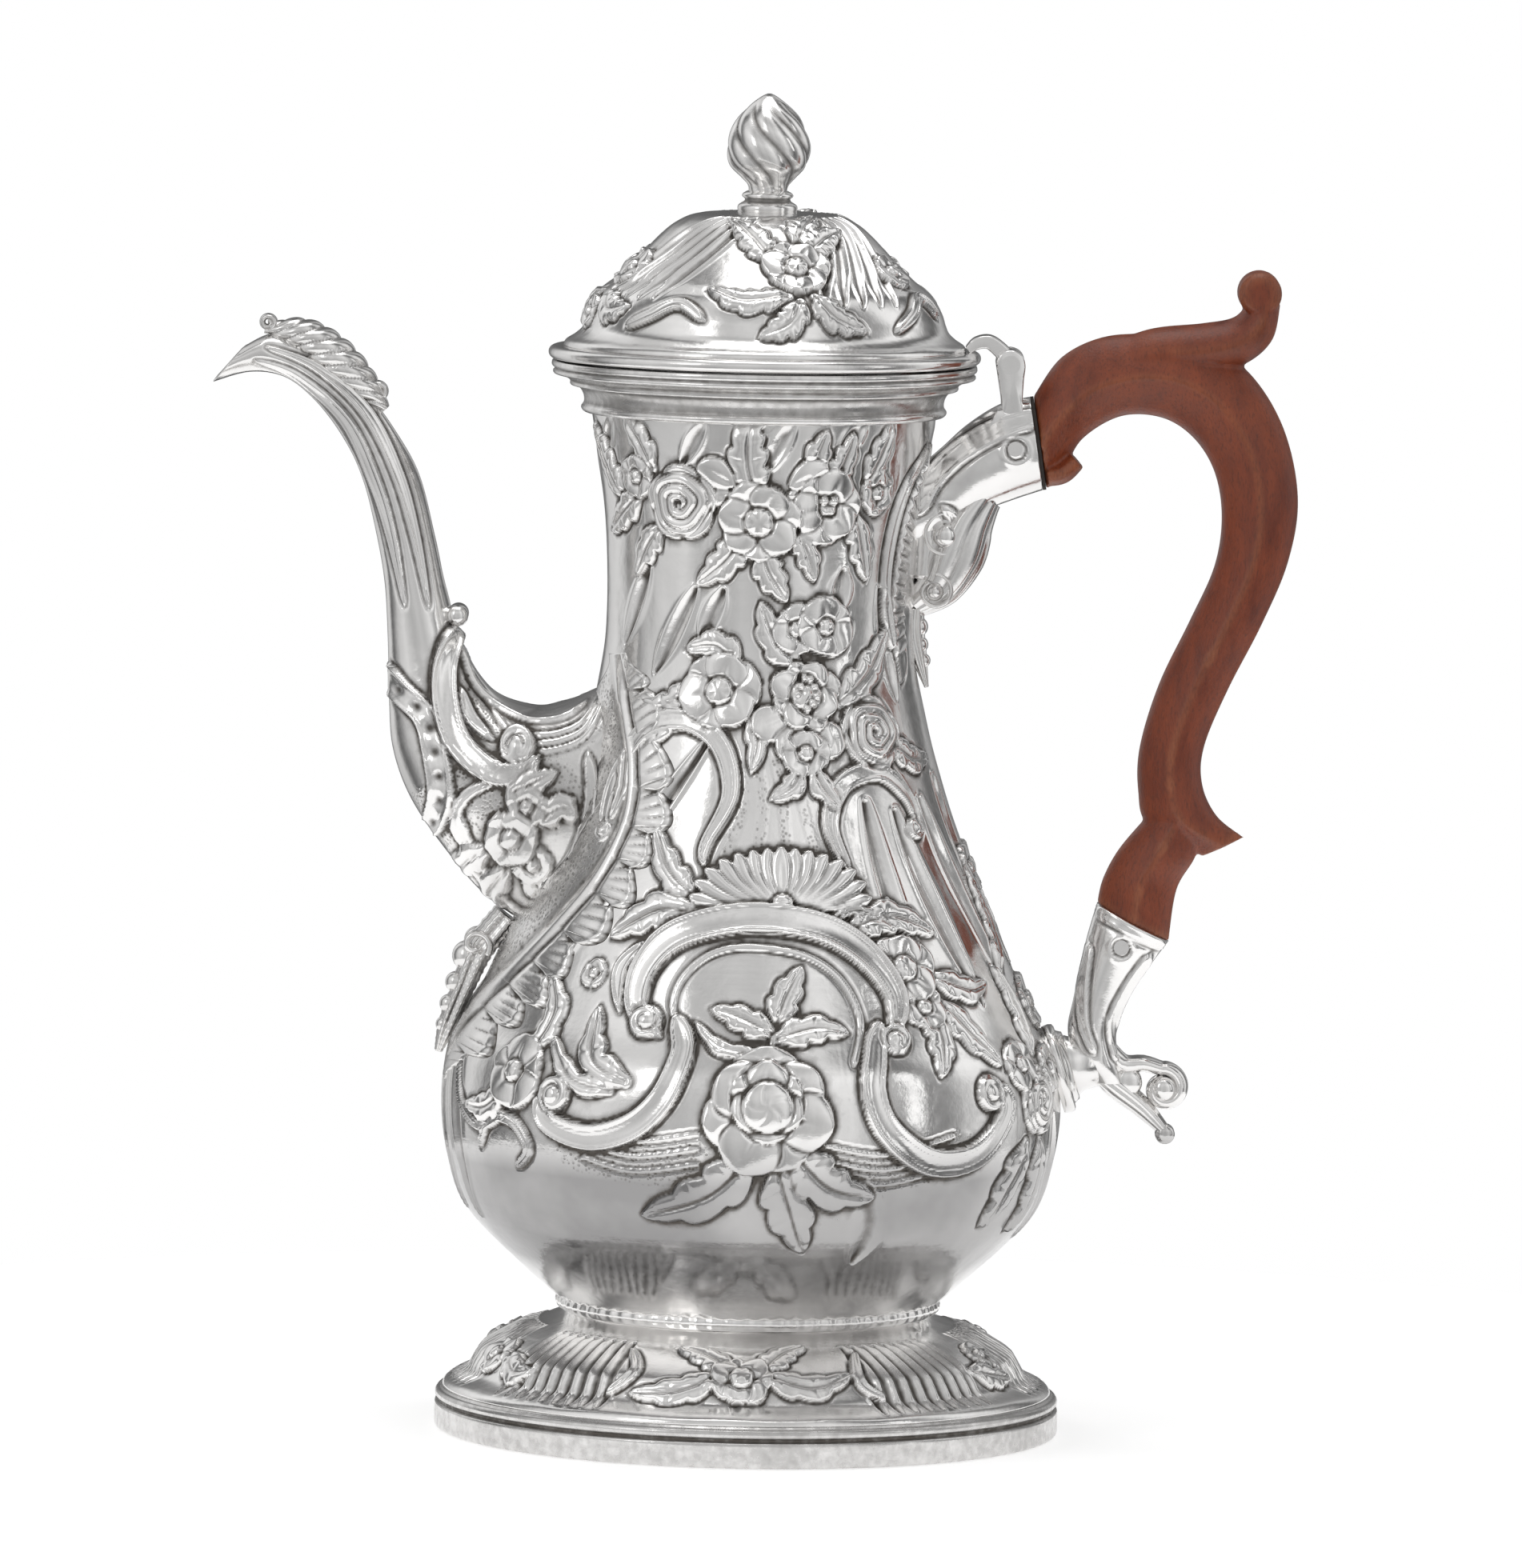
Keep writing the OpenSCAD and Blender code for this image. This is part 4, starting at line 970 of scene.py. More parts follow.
MOUTH_LINE = [(34.4, 205.4), (36.1, 205.6), (36.8, 206.5), (36.2, 207.6), (36.4, 209.2),
              (37.4, 210.6), (39, 211), (39.1, 211.9), (40.4, 212.7), (42.3, 213.2),
              (42.5, 213.9), (42.1, 214.3), (42.8, 214.9), (42.7, 215.9)]
DOME_LINE = [(40.5, 218.8), (40.1, 219.9), (38.4, 221), (36.9, 222.4), (36.2, 224), (35.6, 226),
             (34.4, 228.4), (32.6, 230.6), (29.8, 232.8), (26.7, 235.9), (23.8, 238.9),
             (21, 241.8), (18.4, 243.9), (14.6, 245.6), (9, 246.2), (5.2, 246.4)]


def build_mouth():
    outside = spline(MOUTH_LINE, 4)
    inside = [(35.3, 215.9), (35.3, 207), (33.7, 207), (33.7, 205.4)]
    ring_piece("mouth_turned", np.vstack([outside, inside]), "pot", ["mouth_moulding"], shade_tint=0.2)


def build_lid():
    gap = 0.33 / fine
    f = Turned(spline(DOME_LINE, 8), gap / 2, 2 * int(480 * fine))
    for k in range(5):
        turn = 7.5 * k
        flute(f, [(-8 - turn, 245.4), (-26 - turn, 240), (-42 - turn, 230)], 2.6, 0.6)
        flute(f, [(70 - turn, 245.4), (62 - turn, 240), (50 - turn, 229)], 2.4, 0.5)
    for a, b, c in (((8, 231), (-8, 230), (-22, 232)), ((12, 230), (8, 226), (-2, 223)),
                    ((18, 231), (23, 227), (34, 224)), ((16, 241), (24, 244), (40, 245.6)),
                    ((20, 239), (34, 242), (48, 243)), ((2, 238), (-8, 242), (-26, 245)),
                    ((-70, 230), (-62, 227), (-52, 228)), ((-82, 230), (-86, 226), (-89, 223))):
        leaf(f, [a, b, c], 2.8, 1.1, 4)
    band(f, [(-50, 224), (-40, 226.5), (-30, 229), (-20, 226)], 2.6, 1.2)
    band(f, [(74, 226), (66, 230), (56, 227), (46, 224)], 2.6, 1.2)
    flower(f, (13, 236.2), 6.8, 7, 8, 1.5, 0.32)
    flower(f, (-74, 235), 5, 6, 0, 1.2)
    flower(f, (-80, 226), 3.6, 5, 0, 1.1)
    flower(f, (65, 235), 4.6, 6, 20, 1.2)
    f.finish(gap, 0.04, 6, 9, (1.2, 1.5), (2, 4))
    inside = [(r - WALL, z - 0.7) for r, z in spline(DOME_LINE, 2)[::-1] if r > 6 and z > 220]
    inside = [(5.2, 245.5)] + inside + [(39.4, 218.8)]
    turned_piece("lid_dome_chased", f, gap, inside, "lid", ["lid_dome"])
    edge = spiral((42.2, 217.5), 1.3, 1.3, -90, 90, 12)
    ring_piece("lid_flange_turned", np.vstack([edge, [(33.7, 218.8), (33.7, 216.2)]]), "lid",
               ["lid_flange"], shade_tint=0.05)


FINIAL_LINE = [(3.9, 250.4), (4.2, 251.6), (5.6, 253.2), (7.8, 255.6), (8.5, 258.8), (7.9, 262),
               (6.3, 265.2), (4, 267.6), (1.6, 269.4), (0.4, 270)]


def build_finial():
    line = evened(spline(FINIAL_LINE, 8), 0.22 / fine)
    angle = around(int(180 * fine))
    share = (line[:, 1] - line[0, 1]) / (line[-1, 1] - line[0, 1])
    swirl = 7 * (angle[None, :] + math.radians(140) * share[:, None])
    lobe = np.abs(np.cos(swirl / 2))
    narrow = np.cos(2 * swirl) * smooth((0.45 - lobe) / 0.3)
    fade = smooth((line[:, 0] - 2) / 4)[:, None]
    high = fade * (0.85 * (lobe ** 0.7 - 1) + 0.18 * narrow)
    rings = turned(line[:, :1] + high, angle, line[:, 1:])
    # Darker between the bud's lobes: tarnish and painted shade.
    dark = np.clip(1 - 1.5 * lobe, 0, 1) * fade * 0.9
    solid = Solid()
    solid.rings(rings, dark)
    solid.piece("finial_bud", "lid", ["finial"])
    side = spline([(5.6, 245.4), (6, 246.6), (5.9, 247.6), (4.7, 248.4), (4.6, 248.9),
                   (5.2, 249.4), (4.9, 250), (4, 250.5)], 4)
    ring_piece("finial_collar_turned", np.vstack([side, [(1.7, 250.5), (1.7, 245.4)]]), "lid",
               ["finial_collar"], shade_tint=0.12)


# ---------------------------------------------------------------- lofted parts

def loft(stations, sharp=1.0, sides=64, steps=6):
    """Rings through rows of [outer x, outer z, inner x, inner z, half width, y]."""
    p = spline([tuple(s) + (0,) * (6 - len(s)) for s in stations], steps)
    a = around(sides)
    u = np.sign(np.cos(a)) * np.abs(np.cos(a)) ** sharp
    mid = np.stack([p[:, 0] + p[:, 2], 2 * p[:, 5], p[:, 1] + p[:, 3]], 1) / 2
    reach = np.stack([p[:, 0] - p[:, 2], 0 * p[:, 0], p[:, 1] - p[:, 3]], 1) / 2
    wide = p[:, 4][:, None] * np.sin(a)
    rings = mid[:, None] + reach[:, None] * u[None, :, None]
    rings[:, :, 1] += wide
    return rings


def normals_of(rings):
    """Outward unit normals at the rings' points."""
    du = np.gradient(rings, axis=0)
    dv = np.roll(rings, -1, 1) - np.roll(rings, 1, 1)
    n = np.cross(du, dv)
    n /= np.linalg.norm(n, axis=2)[..., None] + 1e-9
    centre = rings.mean(1, keepdims=True)
    inward = ((rings - centre) * n).sum() < 0
    return -n if inward else n


def raised(rings, side):
    """Rings with a side view's relief laid on them, and how dark each point is."""
    n = normals_of(rings)
    facing = smooth((np.abs(n[..., 1]) - 0.1) / 0.35)
    x, z = rings[..., 0], rings[..., 2]
    high = side.sample(x, z, side.high) * facing
    dark = side.sample(x, z, side.dark) * facing
    matt = side.sample(x, z, side.matt) * facing
    return rings + n * high[..., None], dark, matt


def kept_out(rings, depth=0.45):
    """Points deep in the body brought back to just under its surface."""
    z = rings[..., 2]
    limit = body_radius(np.clip(z, BODY_LOW, BODY_TOP)) - depth
    radius = np.hypot(rings[..., 0], rings[..., 1]) + 1e-9
    grow = np.where((radius < limit) & (z < BODY_TOP), limit / radius, 1)
    out = rings.copy()
    out[..., 0] *= grow
    out[..., 1] *= grow
    return out


def bar_rings(path, sides=20, steps=5, shape=None):
    """A round bar along rows of [x, z, half height, half width, y]."""
    p = spline([tuple(s) + (0,) * (5 - len(s)) for s in path], steps)
    left = left_of(p[:, :2])
    a = around(sides)
    share = np.linspace(0, 1, len(p))
    grow = np.ones((len(p), sides)) if shape is None else shape(share[:, None], a[None, :])
    high = p[:, 2][:, None] * np.cos(a) * grow
    wide = p[:, 3][:, None] * np.sin(a) * grow
    return np.stack([p[:, :1] + left[:, :1] * high, p[:, 4][:, None] + wide,
                     p[:, 1:2] + left[:, 1:] * high], -1)


def curl_rings(curl, half_high, half_wide, y=0):
    """A thin bar along a flat curl."""
    return bar_rings([(p[0], p[1], half_high, half_wide, y) for p in curl], 12, 2)


def disc_rings(centre, radius, half_width, sides=40, round_edge=0.5):
    """A short round bar along Y with softened edges."""
    edge = [(-half_width, radius - round_edge), (-half_width + round_edge, radius),
            (half_width - round_edge, radius), (half_width, radius - round_edge)]
    profile = [(-half_width, 0.2)] + edge + [(half_width, 0.2)]
    a = around(sides)
    return np.array([np.stack([centre[0] + r * np.cos(a), np.full(sides, y),
                               centre[1] + r * np.sin(a)], 1) for y, r in profile])


def ball_rings(centre, r, sides=28):
    """A ball, its poles up and down."""
    lat = np.linspace(-88, 88, sides // 2)
    a = around(sides)
    return np.array([np.stack([
        centre[0] + r * math.cos(math.radians(k)) * np.cos(a),
        centre[1] + r * math.cos(math.radians(k)) * np.sin(a),
        np.full(sides, centre[2] + r * math.sin(math.radians(k)))], 1) for k in lat])


# ---------------------------------------------------------------- the spout

SPOUT = [
    (-104.3, 217.6, -110.8, 210.1, 5.2), (-98.5, 220, -103.4, 212.2, 4.8),
    (-91.5, 217.2, -96.6, 211.3, 4.4), (-84.4, 212.4, -90.4, 206.8, 4.6),
    (-76.8, 204.8, -84.6, 199.4, 5.3), (-69.6, 193.2, -80.6, 191.5, 5.9),
    (-65.6, 179.6, -77.6, 180.4, 6.3), (-63, 168, -75.6, 169, 6.6),
    (-59.6, 157.6, -74.8, 157.6, 7.4), (-53.5, 149, -74.4, 147, 9.4),
    (-44.5, 146, -73.6, 137, 12.4), (-37, 147.6, -70, 127.2, 15.6),
    (-31.5, 150, -62.5, 116.4, 18.2), (-25, 151, -53.4, 106.6, 19),
    (-14, 151, -42, 100, 19)]
CHANNEL_STATIONS = 11
SPOUT_WALL = 1.2


def chase_spout():
    f = Side((-114, 70), (-10, 226), 0.25 / fine)
    inner = [(-100, 217.5), (-90, 213.6), (-80, 205), (-73.5, 193), (-69.5, 180), (-66.5, 166)]
    outer = [(-102, 214.6), (-94, 211.6), (-84, 203), (-78, 191), (-74.4, 180), (-71.5, 166)]
    band(f, inner, 2.6, 0.55, 0.7, 0.7)
    band(f, outer, 2.6, 0.55, 0.7, 0.7)
    web = [(-55, 150), (-49, 143), (-42, 141), (-35, 144)]
    matting(f, web, 9)
    for lift in (3.4, 5.0, 6.6, 8.2):
        line = [(-57 + 0.3 * lift, 156 - lift), (-50 + 0.2 * lift, 148 - lift),
                (-43, 146.4 - lift), (-36 + 0.1 * lift, 149 - lift), (-31, 156 - lift)]
        band(f, line, 1.1, 0.22, 0.5, 0.3)
    rim_line = [(-60, 160), (-56.6, 151), (-50, 146), (-43, 144.6), (-36.5, 147), (-32.5, 154)]
    band(f, rim_line, 2.4, 1.0, 0.3, 0.6)
    matting(f, [(-66, 122), (-58, 128), (-50, 132), (-42, 130)], 14)
    panel = [(-64, 134), (-60, 124), (-56, 114), (-50, 106), (-42, 101)]
    band(f, panel, 2.6, 1.1, 0.3, 0.6)
    band(f, [(-52, 132), (-58, 129), (-60.6, 123), (-57, 116)], 2.2, 0.9, 0.4, 0.5)
    band(f, [(-34, 138), (-33, 128), (-36, 116), (-42, 106), (-48, 98)], 3.2, 1.1, 0.4, 0.7)
    collar = [(-76.4, 154.2), (-72.2, 149), (-66.8, 144), (-64.6, 137), (-63.4, 129.1),
              (-64.8, 122.7), (-68, 118.8)]
    band(f, collar, 5, 1.3, 0.1, 0.8)
    for at in evened(spline(collar[1:-1], 6), 4.6):
        part, rho, _ = polar(f, tuple(at), 3)
        f.add(part, -0.6 * bell(rho / 1.2))
    scroll = [(-61.4, 162), (-63.4, 154), (-62.6, 146), (-59.4, 138.6), (-53, 133.8),
              (-47, 133.6), (-44, 137)]
    band(f, scroll, 5.2, 2.0, 0.35, 0.9)
    band(f, [(-60, 150), (-57.6, 144), (-53, 140)], 2.4, 1.1, 0.7, 0.5)
    volute(f, (-48, 138.8), 3.6, 2.1, 200)
    for a, b, c in (((-49, 126), (-46, 131), (-40, 134)), ((-50, 114), (-53, 108), (-50, 101)),
                    ((-46, 114), (-42, 108), (-42, 101)), ((-54, 118), (-59, 114), (-61, 109)),
                    ((-44, 124), (-39, 127), (-36, 124))):
        leaf(f, [a, b, c], 2.8, 1.1, 3)
    flower(f, (-46, 127), 4, 5, 10, 1.2)
    flower(f, (-44.6, 115), 4, 5, 60, 1.2)
    flower(f, (-49, 120.4), 5.6, 6, 10, 1.7, 0.34)
    f.dark = recesses(f.high, f.gap)
    return f


def build_spout():
    side = chase_spout()
    sides, steps = int(220 * fine), int(24 * fine)
    outer = kept_out(loft(SPOUT, 1.0, sides, steps)[::-1])
    shown, dark, matt = raised(outer, side)
    rough = 0.05 * hand_noise(shown.shape[:2], 0.4, 4, 21)
    shown = shown + normals_of(outer) * rough[..., None] * 0.6
    channel = [list(s) for s in SPOUT[:CHANNEL_STATIONS]]
    for s in channel:
        reach = np.array([s[0] - s[2], s[1] - s[3]]) / 2
        mid = np.array([s[0] + s[2], s[1] + s[3]]) / 2
        reach *= 1 - SPOUT_WALL / np.linalg.norm(reach)
        s[0:2] = mid + reach
        s[2:4] = mid - reach
        s[4] -= SPOUT_WALL
    inner = loft(channel, 1.0, sides, 3)
    mouth = (shown[-1] + inner[0]) / 2
    away = shown[-1].mean(0) - shown[-4].mean(0)
    lip = mouth + away / np.linalg.norm(away) * 0.35
    rings = np.concatenate([shown, lip[None], inner])
    # The inside of the channel is painted dark: painted shade.
    dark = np.concatenate([dark, np.zeros((1, sides)), np.full(inner.shape[:2], 0.8)])
    matt = np.concatenate([matt, np.zeros((1 + len(inner), sides))])
    solid = Solid()
    solid.rings(rings, dark, matt=matt)
    solid.rings(disc_rings((-60.8, 164), 2.1, 5.2, 32, 1.1))
    solid.piece("spout_cast", "pot", ["spout", "spout_scroll", "spout_collar"])


def build_crest():
    path = [(-99.6, 221, 1.2, 2), (-93, 219.8, 3.4, 4.3), (-86.4, 215.4, 4.1, 5),
            (-80.4, 209.6, 3.2, 4.2), (-76.2, 205, 1.2, 2.1)]

    def gadroon(t, a):
        return 1 + 0.16 * (np.abs(np.sin(np.pi * (9 * t - 1.1 * np.cos(a)))) ** 0.6 - 0.6)

    rings = bar_rings(path, int(48 * fine), int(44 * fine), gadroon)
    t = np.linspace(0, 1, len(rings))[:, None]
    a = around(rings.shape[1])[None]
    # Darker in the grooves between the gadroons: tarnish and painted shade.
    dark = np.clip(0.8 - 1.9 * np.abs(np.sin(np.pi * (9 * t - 1.1 * np.cos(a)))), 0, 1)
    solid = Solid()
    solid.rings(rings, dark)
    for centre, r, turn in (((-77.6, 208.6), 2.3, 1), ((-100, 222.2), 1.7, -1)):
        curl = spiral(centre, r, 0.5, 250, 250 - 560 * turn, 26)
        width = np.linspace(2.4, 1.2, 26)
        solid.rings(bar_rings([(p[0], p[1], 0.62, w) for p, w in zip(curl, width)], 12, 2))
    solid.piece("spout_crest_cast", "pot", ["spout_crest"])


def on_body(points):
    """(x, z) places seen from the side, put on the body's near side."""
    p = np.asarray(points, float)
    r = body_radius(p[..., 1])
    y = -np.sqrt(np.clip(r ** 2 - p[..., 0] ** 2, 0.01, None))
    return np.stack([p[..., 0], y, p[..., 1]], -1)


FRILL = [(-27.6, 158), (-25, 148), (-23.2, 137), (-24, 126), (-29.6, 114), (-38.2, 103),
         (-46.6, 93.6), (-54.4, 85), (-60.4, 77), (-62.4, 71)]


def build_frill():
    """A leafy shell border on the body, its fronds pointing away from the spout."""
    gap = 0.32 / fine
    edge = evened(spline(FRILL, 8), gap)
    left = left_of(edge)
    share = np.linspace(0, 1, len(edge))
    fronds = 12
    place = fronds * (share + 0.012 * np.sin(17 * share))
    step = place % 1
    lobe = np.sin(np.pi * step ** 1.4) ** 0.7
    fade = smooth(share * 10) * smooth((1 - share) * 7)
    reach = 0.8 + 5.8 * fade * (0.5 + 0.5 * lobe) * (1 + 0.14 * np.sin(9 * share * np.pi))
    back = -(2.5 + 6 * fade)
    q = np.linspace(0, 1, int(48 * fine))
    away = back[:, None] + (reach - back)[:, None] * q[None]
    x = edge[:, :1] + left[:, :1] * away
    z = edge[:, 1:] + left[:, 1:] * away
    outward = np.clip(away / reach[:, None], 0, 1)
    ray = np.abs(np.sin(np.pi * 4 * (place[:, None] + 0.3 * outward)))
    moulding = 1.3 * bell((away + 1.6) / 1.3)
    frond = 0.3 + 0.8 * lobe[:, None] * smooth(1.2 - outward) + 0.3 * bell((outward - 0.85) / 0.12)
    groove = 0.3 * bell(ray / 0.35) * smooth(3 * outward)
    parting = 0.5 * bell((step[:, None] - 0.03) / 0.05) * smooth(2 * outward)
    high = np.maximum(moulding, 0.35 + (frond - groove - parting) * smooth((away + 0.6) / 1.2))
    thin_edge = 1 - 0.75 * smooth((outward - 0.8) / 0.2)
    high = np.maximum(high * (0.3 + 0.7 * fade[:, None]) * thin_edge, 0.1)
    limit = body_radius(z) - 0.2
    x = np.clip(x, -limit, limit)
    top = on_body(np.stack([x, z], -1))
    radial = top * np.array([1, 1, 0]) / np.hypot(top[..., 0], top[..., 1])[..., None]
    # Darker in the hollows and along the fronds' grooves: tarnish and painted shade.
    dark = np.clip(recesses(high, gap) + 0.35 * bell(ray / 0.3) * smooth(3 * outward), 0, 1)
    matt = smooth((-2.8 - away) / 1.2)
    solid = Solid()
    for sign in (1, -1):
        flip = np.array([1, sign, 1])
        solid.slab((top + radial * high[..., None]) * flip, (top - radial * 0.5) * flip,
                   dark, matt)
    solid.piece("spout_frill_cast", "pot", ["spout_frill"])


def build_drop():
    leaf_path = [(-50, 103.5, 2.6, 3.8), (-55.4, 96.4, 2.6, 3.8), (-58.6, 88.6, 2.1, 3.2),
                 (-61.6, 81, 1.7, 2.4), (-63.4, 75.5, 0.7, 0.9)]
    solid = Solid()

    def ribbed(t, a):
        return 1 + 0.14 * np.cos(6 * a) - 0.05 * np.cos(40 * np.pi * t)

    solid.rings(kept_out(bar_rings(leaf_path, int(48 * fine), 14, ribbed), 0.5))
    for x, z, r in ((-57.8, 95, 3.1), (-60, 89.6, 2.2), (-61.4, 85.2, 1.9), (-62.4, 81, 1.6)):
        solid.rings(ball_rings((x, 0, z), r))
    for sign in (1, -1):
        curl = spiral((-56.2, 97.6), 3.2, 0.8, -40, 300, 20)
        solid.rings(curl_rings(curl, 0.7, 1.1, sign * 4.2))
    solid.piece("spout_drop_cast", "pot", ["spout_drop"])


# ---------------------------------------------------------------- the handle

# Half the grip's width, then each socket's seat: where it is seen from the side,
# the lean of its face in degrees and half the face's length.
GRIP = 7.75
SEAT, SEAT_LEAN, SEAT_HALF = (54.9, 200.6), 9, 9.5
FOOT_SEAT, FOOT_LEAN, FOOT_HALF = (76.3, 104.3), 62.5, 8.2


TENON_RADIUS = 5.5
TENON_LENGTH = 9.6


def seat_edge(seat, lean, half):
    """The end of a seat's face, half its length above or below its middle."""
    a = math.radians(lean)
    return seat[0] - half * math.sin(a), seat[1] + half * math.cos(a)


def build_handle():
    lean = math.radians(SEAT_LEAN)
    face = (SEAT[0] + 0.8 * math.cos(lean), SEAT[1] + 0.8 * math.sin(lean))
    top, foot = seat_edge(face, SEAT_LEAN, SEAT_HALF), seat_edge(face, SEAT_LEAN, -SEAT_HALF)
    front = seat_edge(FOOT_SEAT, FOOT_LEAN, -FOOT_HALF)
    back = seat_edge(FOOT_SEAT, FOOT_LEAN, FOOT_HALF)
    grip = [top + foot + (GRIP + 0.6,)] + [
        (59.6, 218, 60.8, 196, GRIP + 0.4), (68, 222.3, 64.4, 201.9, GRIP),
        (78, 223, 71.9, 206.4, GRIP), (88, 221.6, 80.2, 206.2, GRIP),
        (97.5, 215.6, 86.6, 202.2, GRIP), (104.6, 204.6, 90.9, 195.4, GRIP),
        (107.8, 190.6, 92.5, 186.4, GRIP), (106.1, 177.7, 91.2, 176.4, GRIP),
        (101, 164.8, 86.4, 165.2, GRIP), (94.6, 151.8, 80.6, 152.6, GRIP - 0.3),
        (90, 140.2, 77, 140, GRIP - 0.5), (89.7, 132.5, 76.8, 131, GRIP - 0.6),
        (92.8, 126, 79, 123.8, GRIP - 1.2), (98.3, 121.8, 90, 117.8, 2.4)]
    stub = [(90.8, 125, 78.6, 125.6, GRIP - 1.4), (88.6, 117.6, 73.2, 119, GRIP - 0.9),
            (85, 111, 70.1, 113, GRIP - 0.6), front + back + (GRIP - 0.4,)]
    thumb = [(66, 219.6, 68, 210, GRIP - 2.6), (77, 224, 79, 214, GRIP - 1.6),
             (87.7, 225.4, 89, 215, GRIP - 1.3), (93.8, 226.6, 97, 217.6, GRIP - 1.3),
             (96.3, 229, 102, 222.4, GRIP - 1.4), (97.6, 232.4, 103.4, 229.4, GRIP - 1.7)]
    solid = Solid()
    for stations, sharp in ((grip, 2.0), (stub, 2.0), (thumb, 1.4)):
        solid.rings(loft(stations, sharp, int(72 * fine), int(8 * fine)))
    solid.rings(disc_rings((99.2, 231.7), 4.4, GRIP - 1.7, 40, 1.2))
    solid.rings(bar_rings([(57.2, 194.4, 2.4, 6.8), (60.2, 195.2, 2.6, 6.4), (63, 197.6, 2.2, 5.6)],
                          32, 6))
    for place, lean in ((face, SEAT_LEAN), (FOOT_SEAT, FOOT_LEAN)):
        a = math.radians(lean)
        turn = np.array([math.cos(a), math.sin(a)])
        ends = np.array(place) + 3 * turn, np.array(place) - TENON_LENGTH * turn
        solid.rings(bar_rings([(x, z, TENON_RADIUS, TENON_RADIUS) for x, z in ends], 40, 4))
    ob = solid.piece("handle_carved", "pot", ["handle"], "fruitwood")
    melt = ob.modifiers.new("melt", "REMESH")
    melt.mode = "VOXEL"
    melt.voxel_size = 0.42 * MM / fine
    soften = ob.modifiers.new("soften", "SMOOTH")
    soften.factor = 0.5
    soften.iterations = 3
    bpy.context.view_layer.update()
    shaped = bpy.data.meshes.new_from_object(
        ob.evaluated_get(bpy.context.evaluated_depsgraph_get()))
    ob.modifiers.clear()
    ob.data = shaped
    ob.data.name = "handle_carved"
    for poly in shaped.polygons:
        poly.use_smooth = True
    wear_edges(ob)


def wear_edges(ob):
    """Paler wood where the ridges are rubbed, as a value on each point."""
    me = ob.data
    n = len(me.vertices)
    co = np.zeros(n * 3)
    me.vertices.foreach_get("co", co)
    no = np.zeros(n * 3)
    me.vertices.foreach_get("normal", no)
    co, no = co.reshape(-1, 3), no.reshape(-1, 3)
    edges = np.zeros(len(me.edges) * 2, int)
    me.edges.foreach_get("vertices", edges)
    edges = edges.reshape(-1, 2)
    bend = ((co[edges[:, 1]] - co[edges[:, 0]]) * (no[edges[:, 1]] - no[edges[:, 0]])).sum(1)
    bend /= np.linalg.norm(co[edges[:, 1]] - co[edges[:, 0]], axis=1) ** 2 + 1e-12
    value = np.zeros(n)
    count = np.zeros(n)
    for k in (0, 1):
        np.add.at(value, edges[:, k], bend)
        np.add.at(count, edges[:, k], 1)
    value /= np.maximum(count, 1)
    for _ in range(12):
        total = value.copy()
        for k in (0, 1):
            np.add.at(total, edges[:, k], value[edges[:, 1 - k]])
        value = total / (count + 1)
    worn = np.clip((value * MM - 0.07) / 0.3, 0, 1) * 0.3
    old = me.attributes.get("recess")
    if old:
        me.attributes.remove(old)
    layer = me.attributes.new("recess", "FLOAT", "POINT")
    layer.data.foreach_set("value", worn.astype(np.float32))


def build_cement():
    a = math.radians(SEAT_LEAN)
    solid = Solid()
    rows = []
    for shift in (0.05, 0.75):
        place = (SEAT[0] + shift * math.cos(a), SEAT[1] + shift * math.sin(a))
        rows.append(seat_edge(place, SEAT_LEAN, SEAT_HALF) + seat_edge(place, SEAT_LEAN, -SEAT_HALF)
                    + (GRIP + 0.4,))
    solid.rings(loft(rows, 1.0, int(120 * fine), 2))
    solid.piece("cement_seam", "pot", ["cement_line"], "cement")


# ---------------------------------------------------------------- sockets

def chase_upper():
    f = Side((20, 148), (60, 214), 0.25 / fine)
    band(f, [(56, 206.6), (47, 203.6), (39.4, 198.8), (34, 193), (31, 186)], 4.4, 0.7, 0.1, 0.8)
    band(f, [(36, 188), (39, 184.6), (38.6, 180)], 2.6, 0.8, 0.4)
    rivet(f, (50.8, 199.6), 2, 0.4)
    f.dark = recesses(f.high, f.gap)
    return f


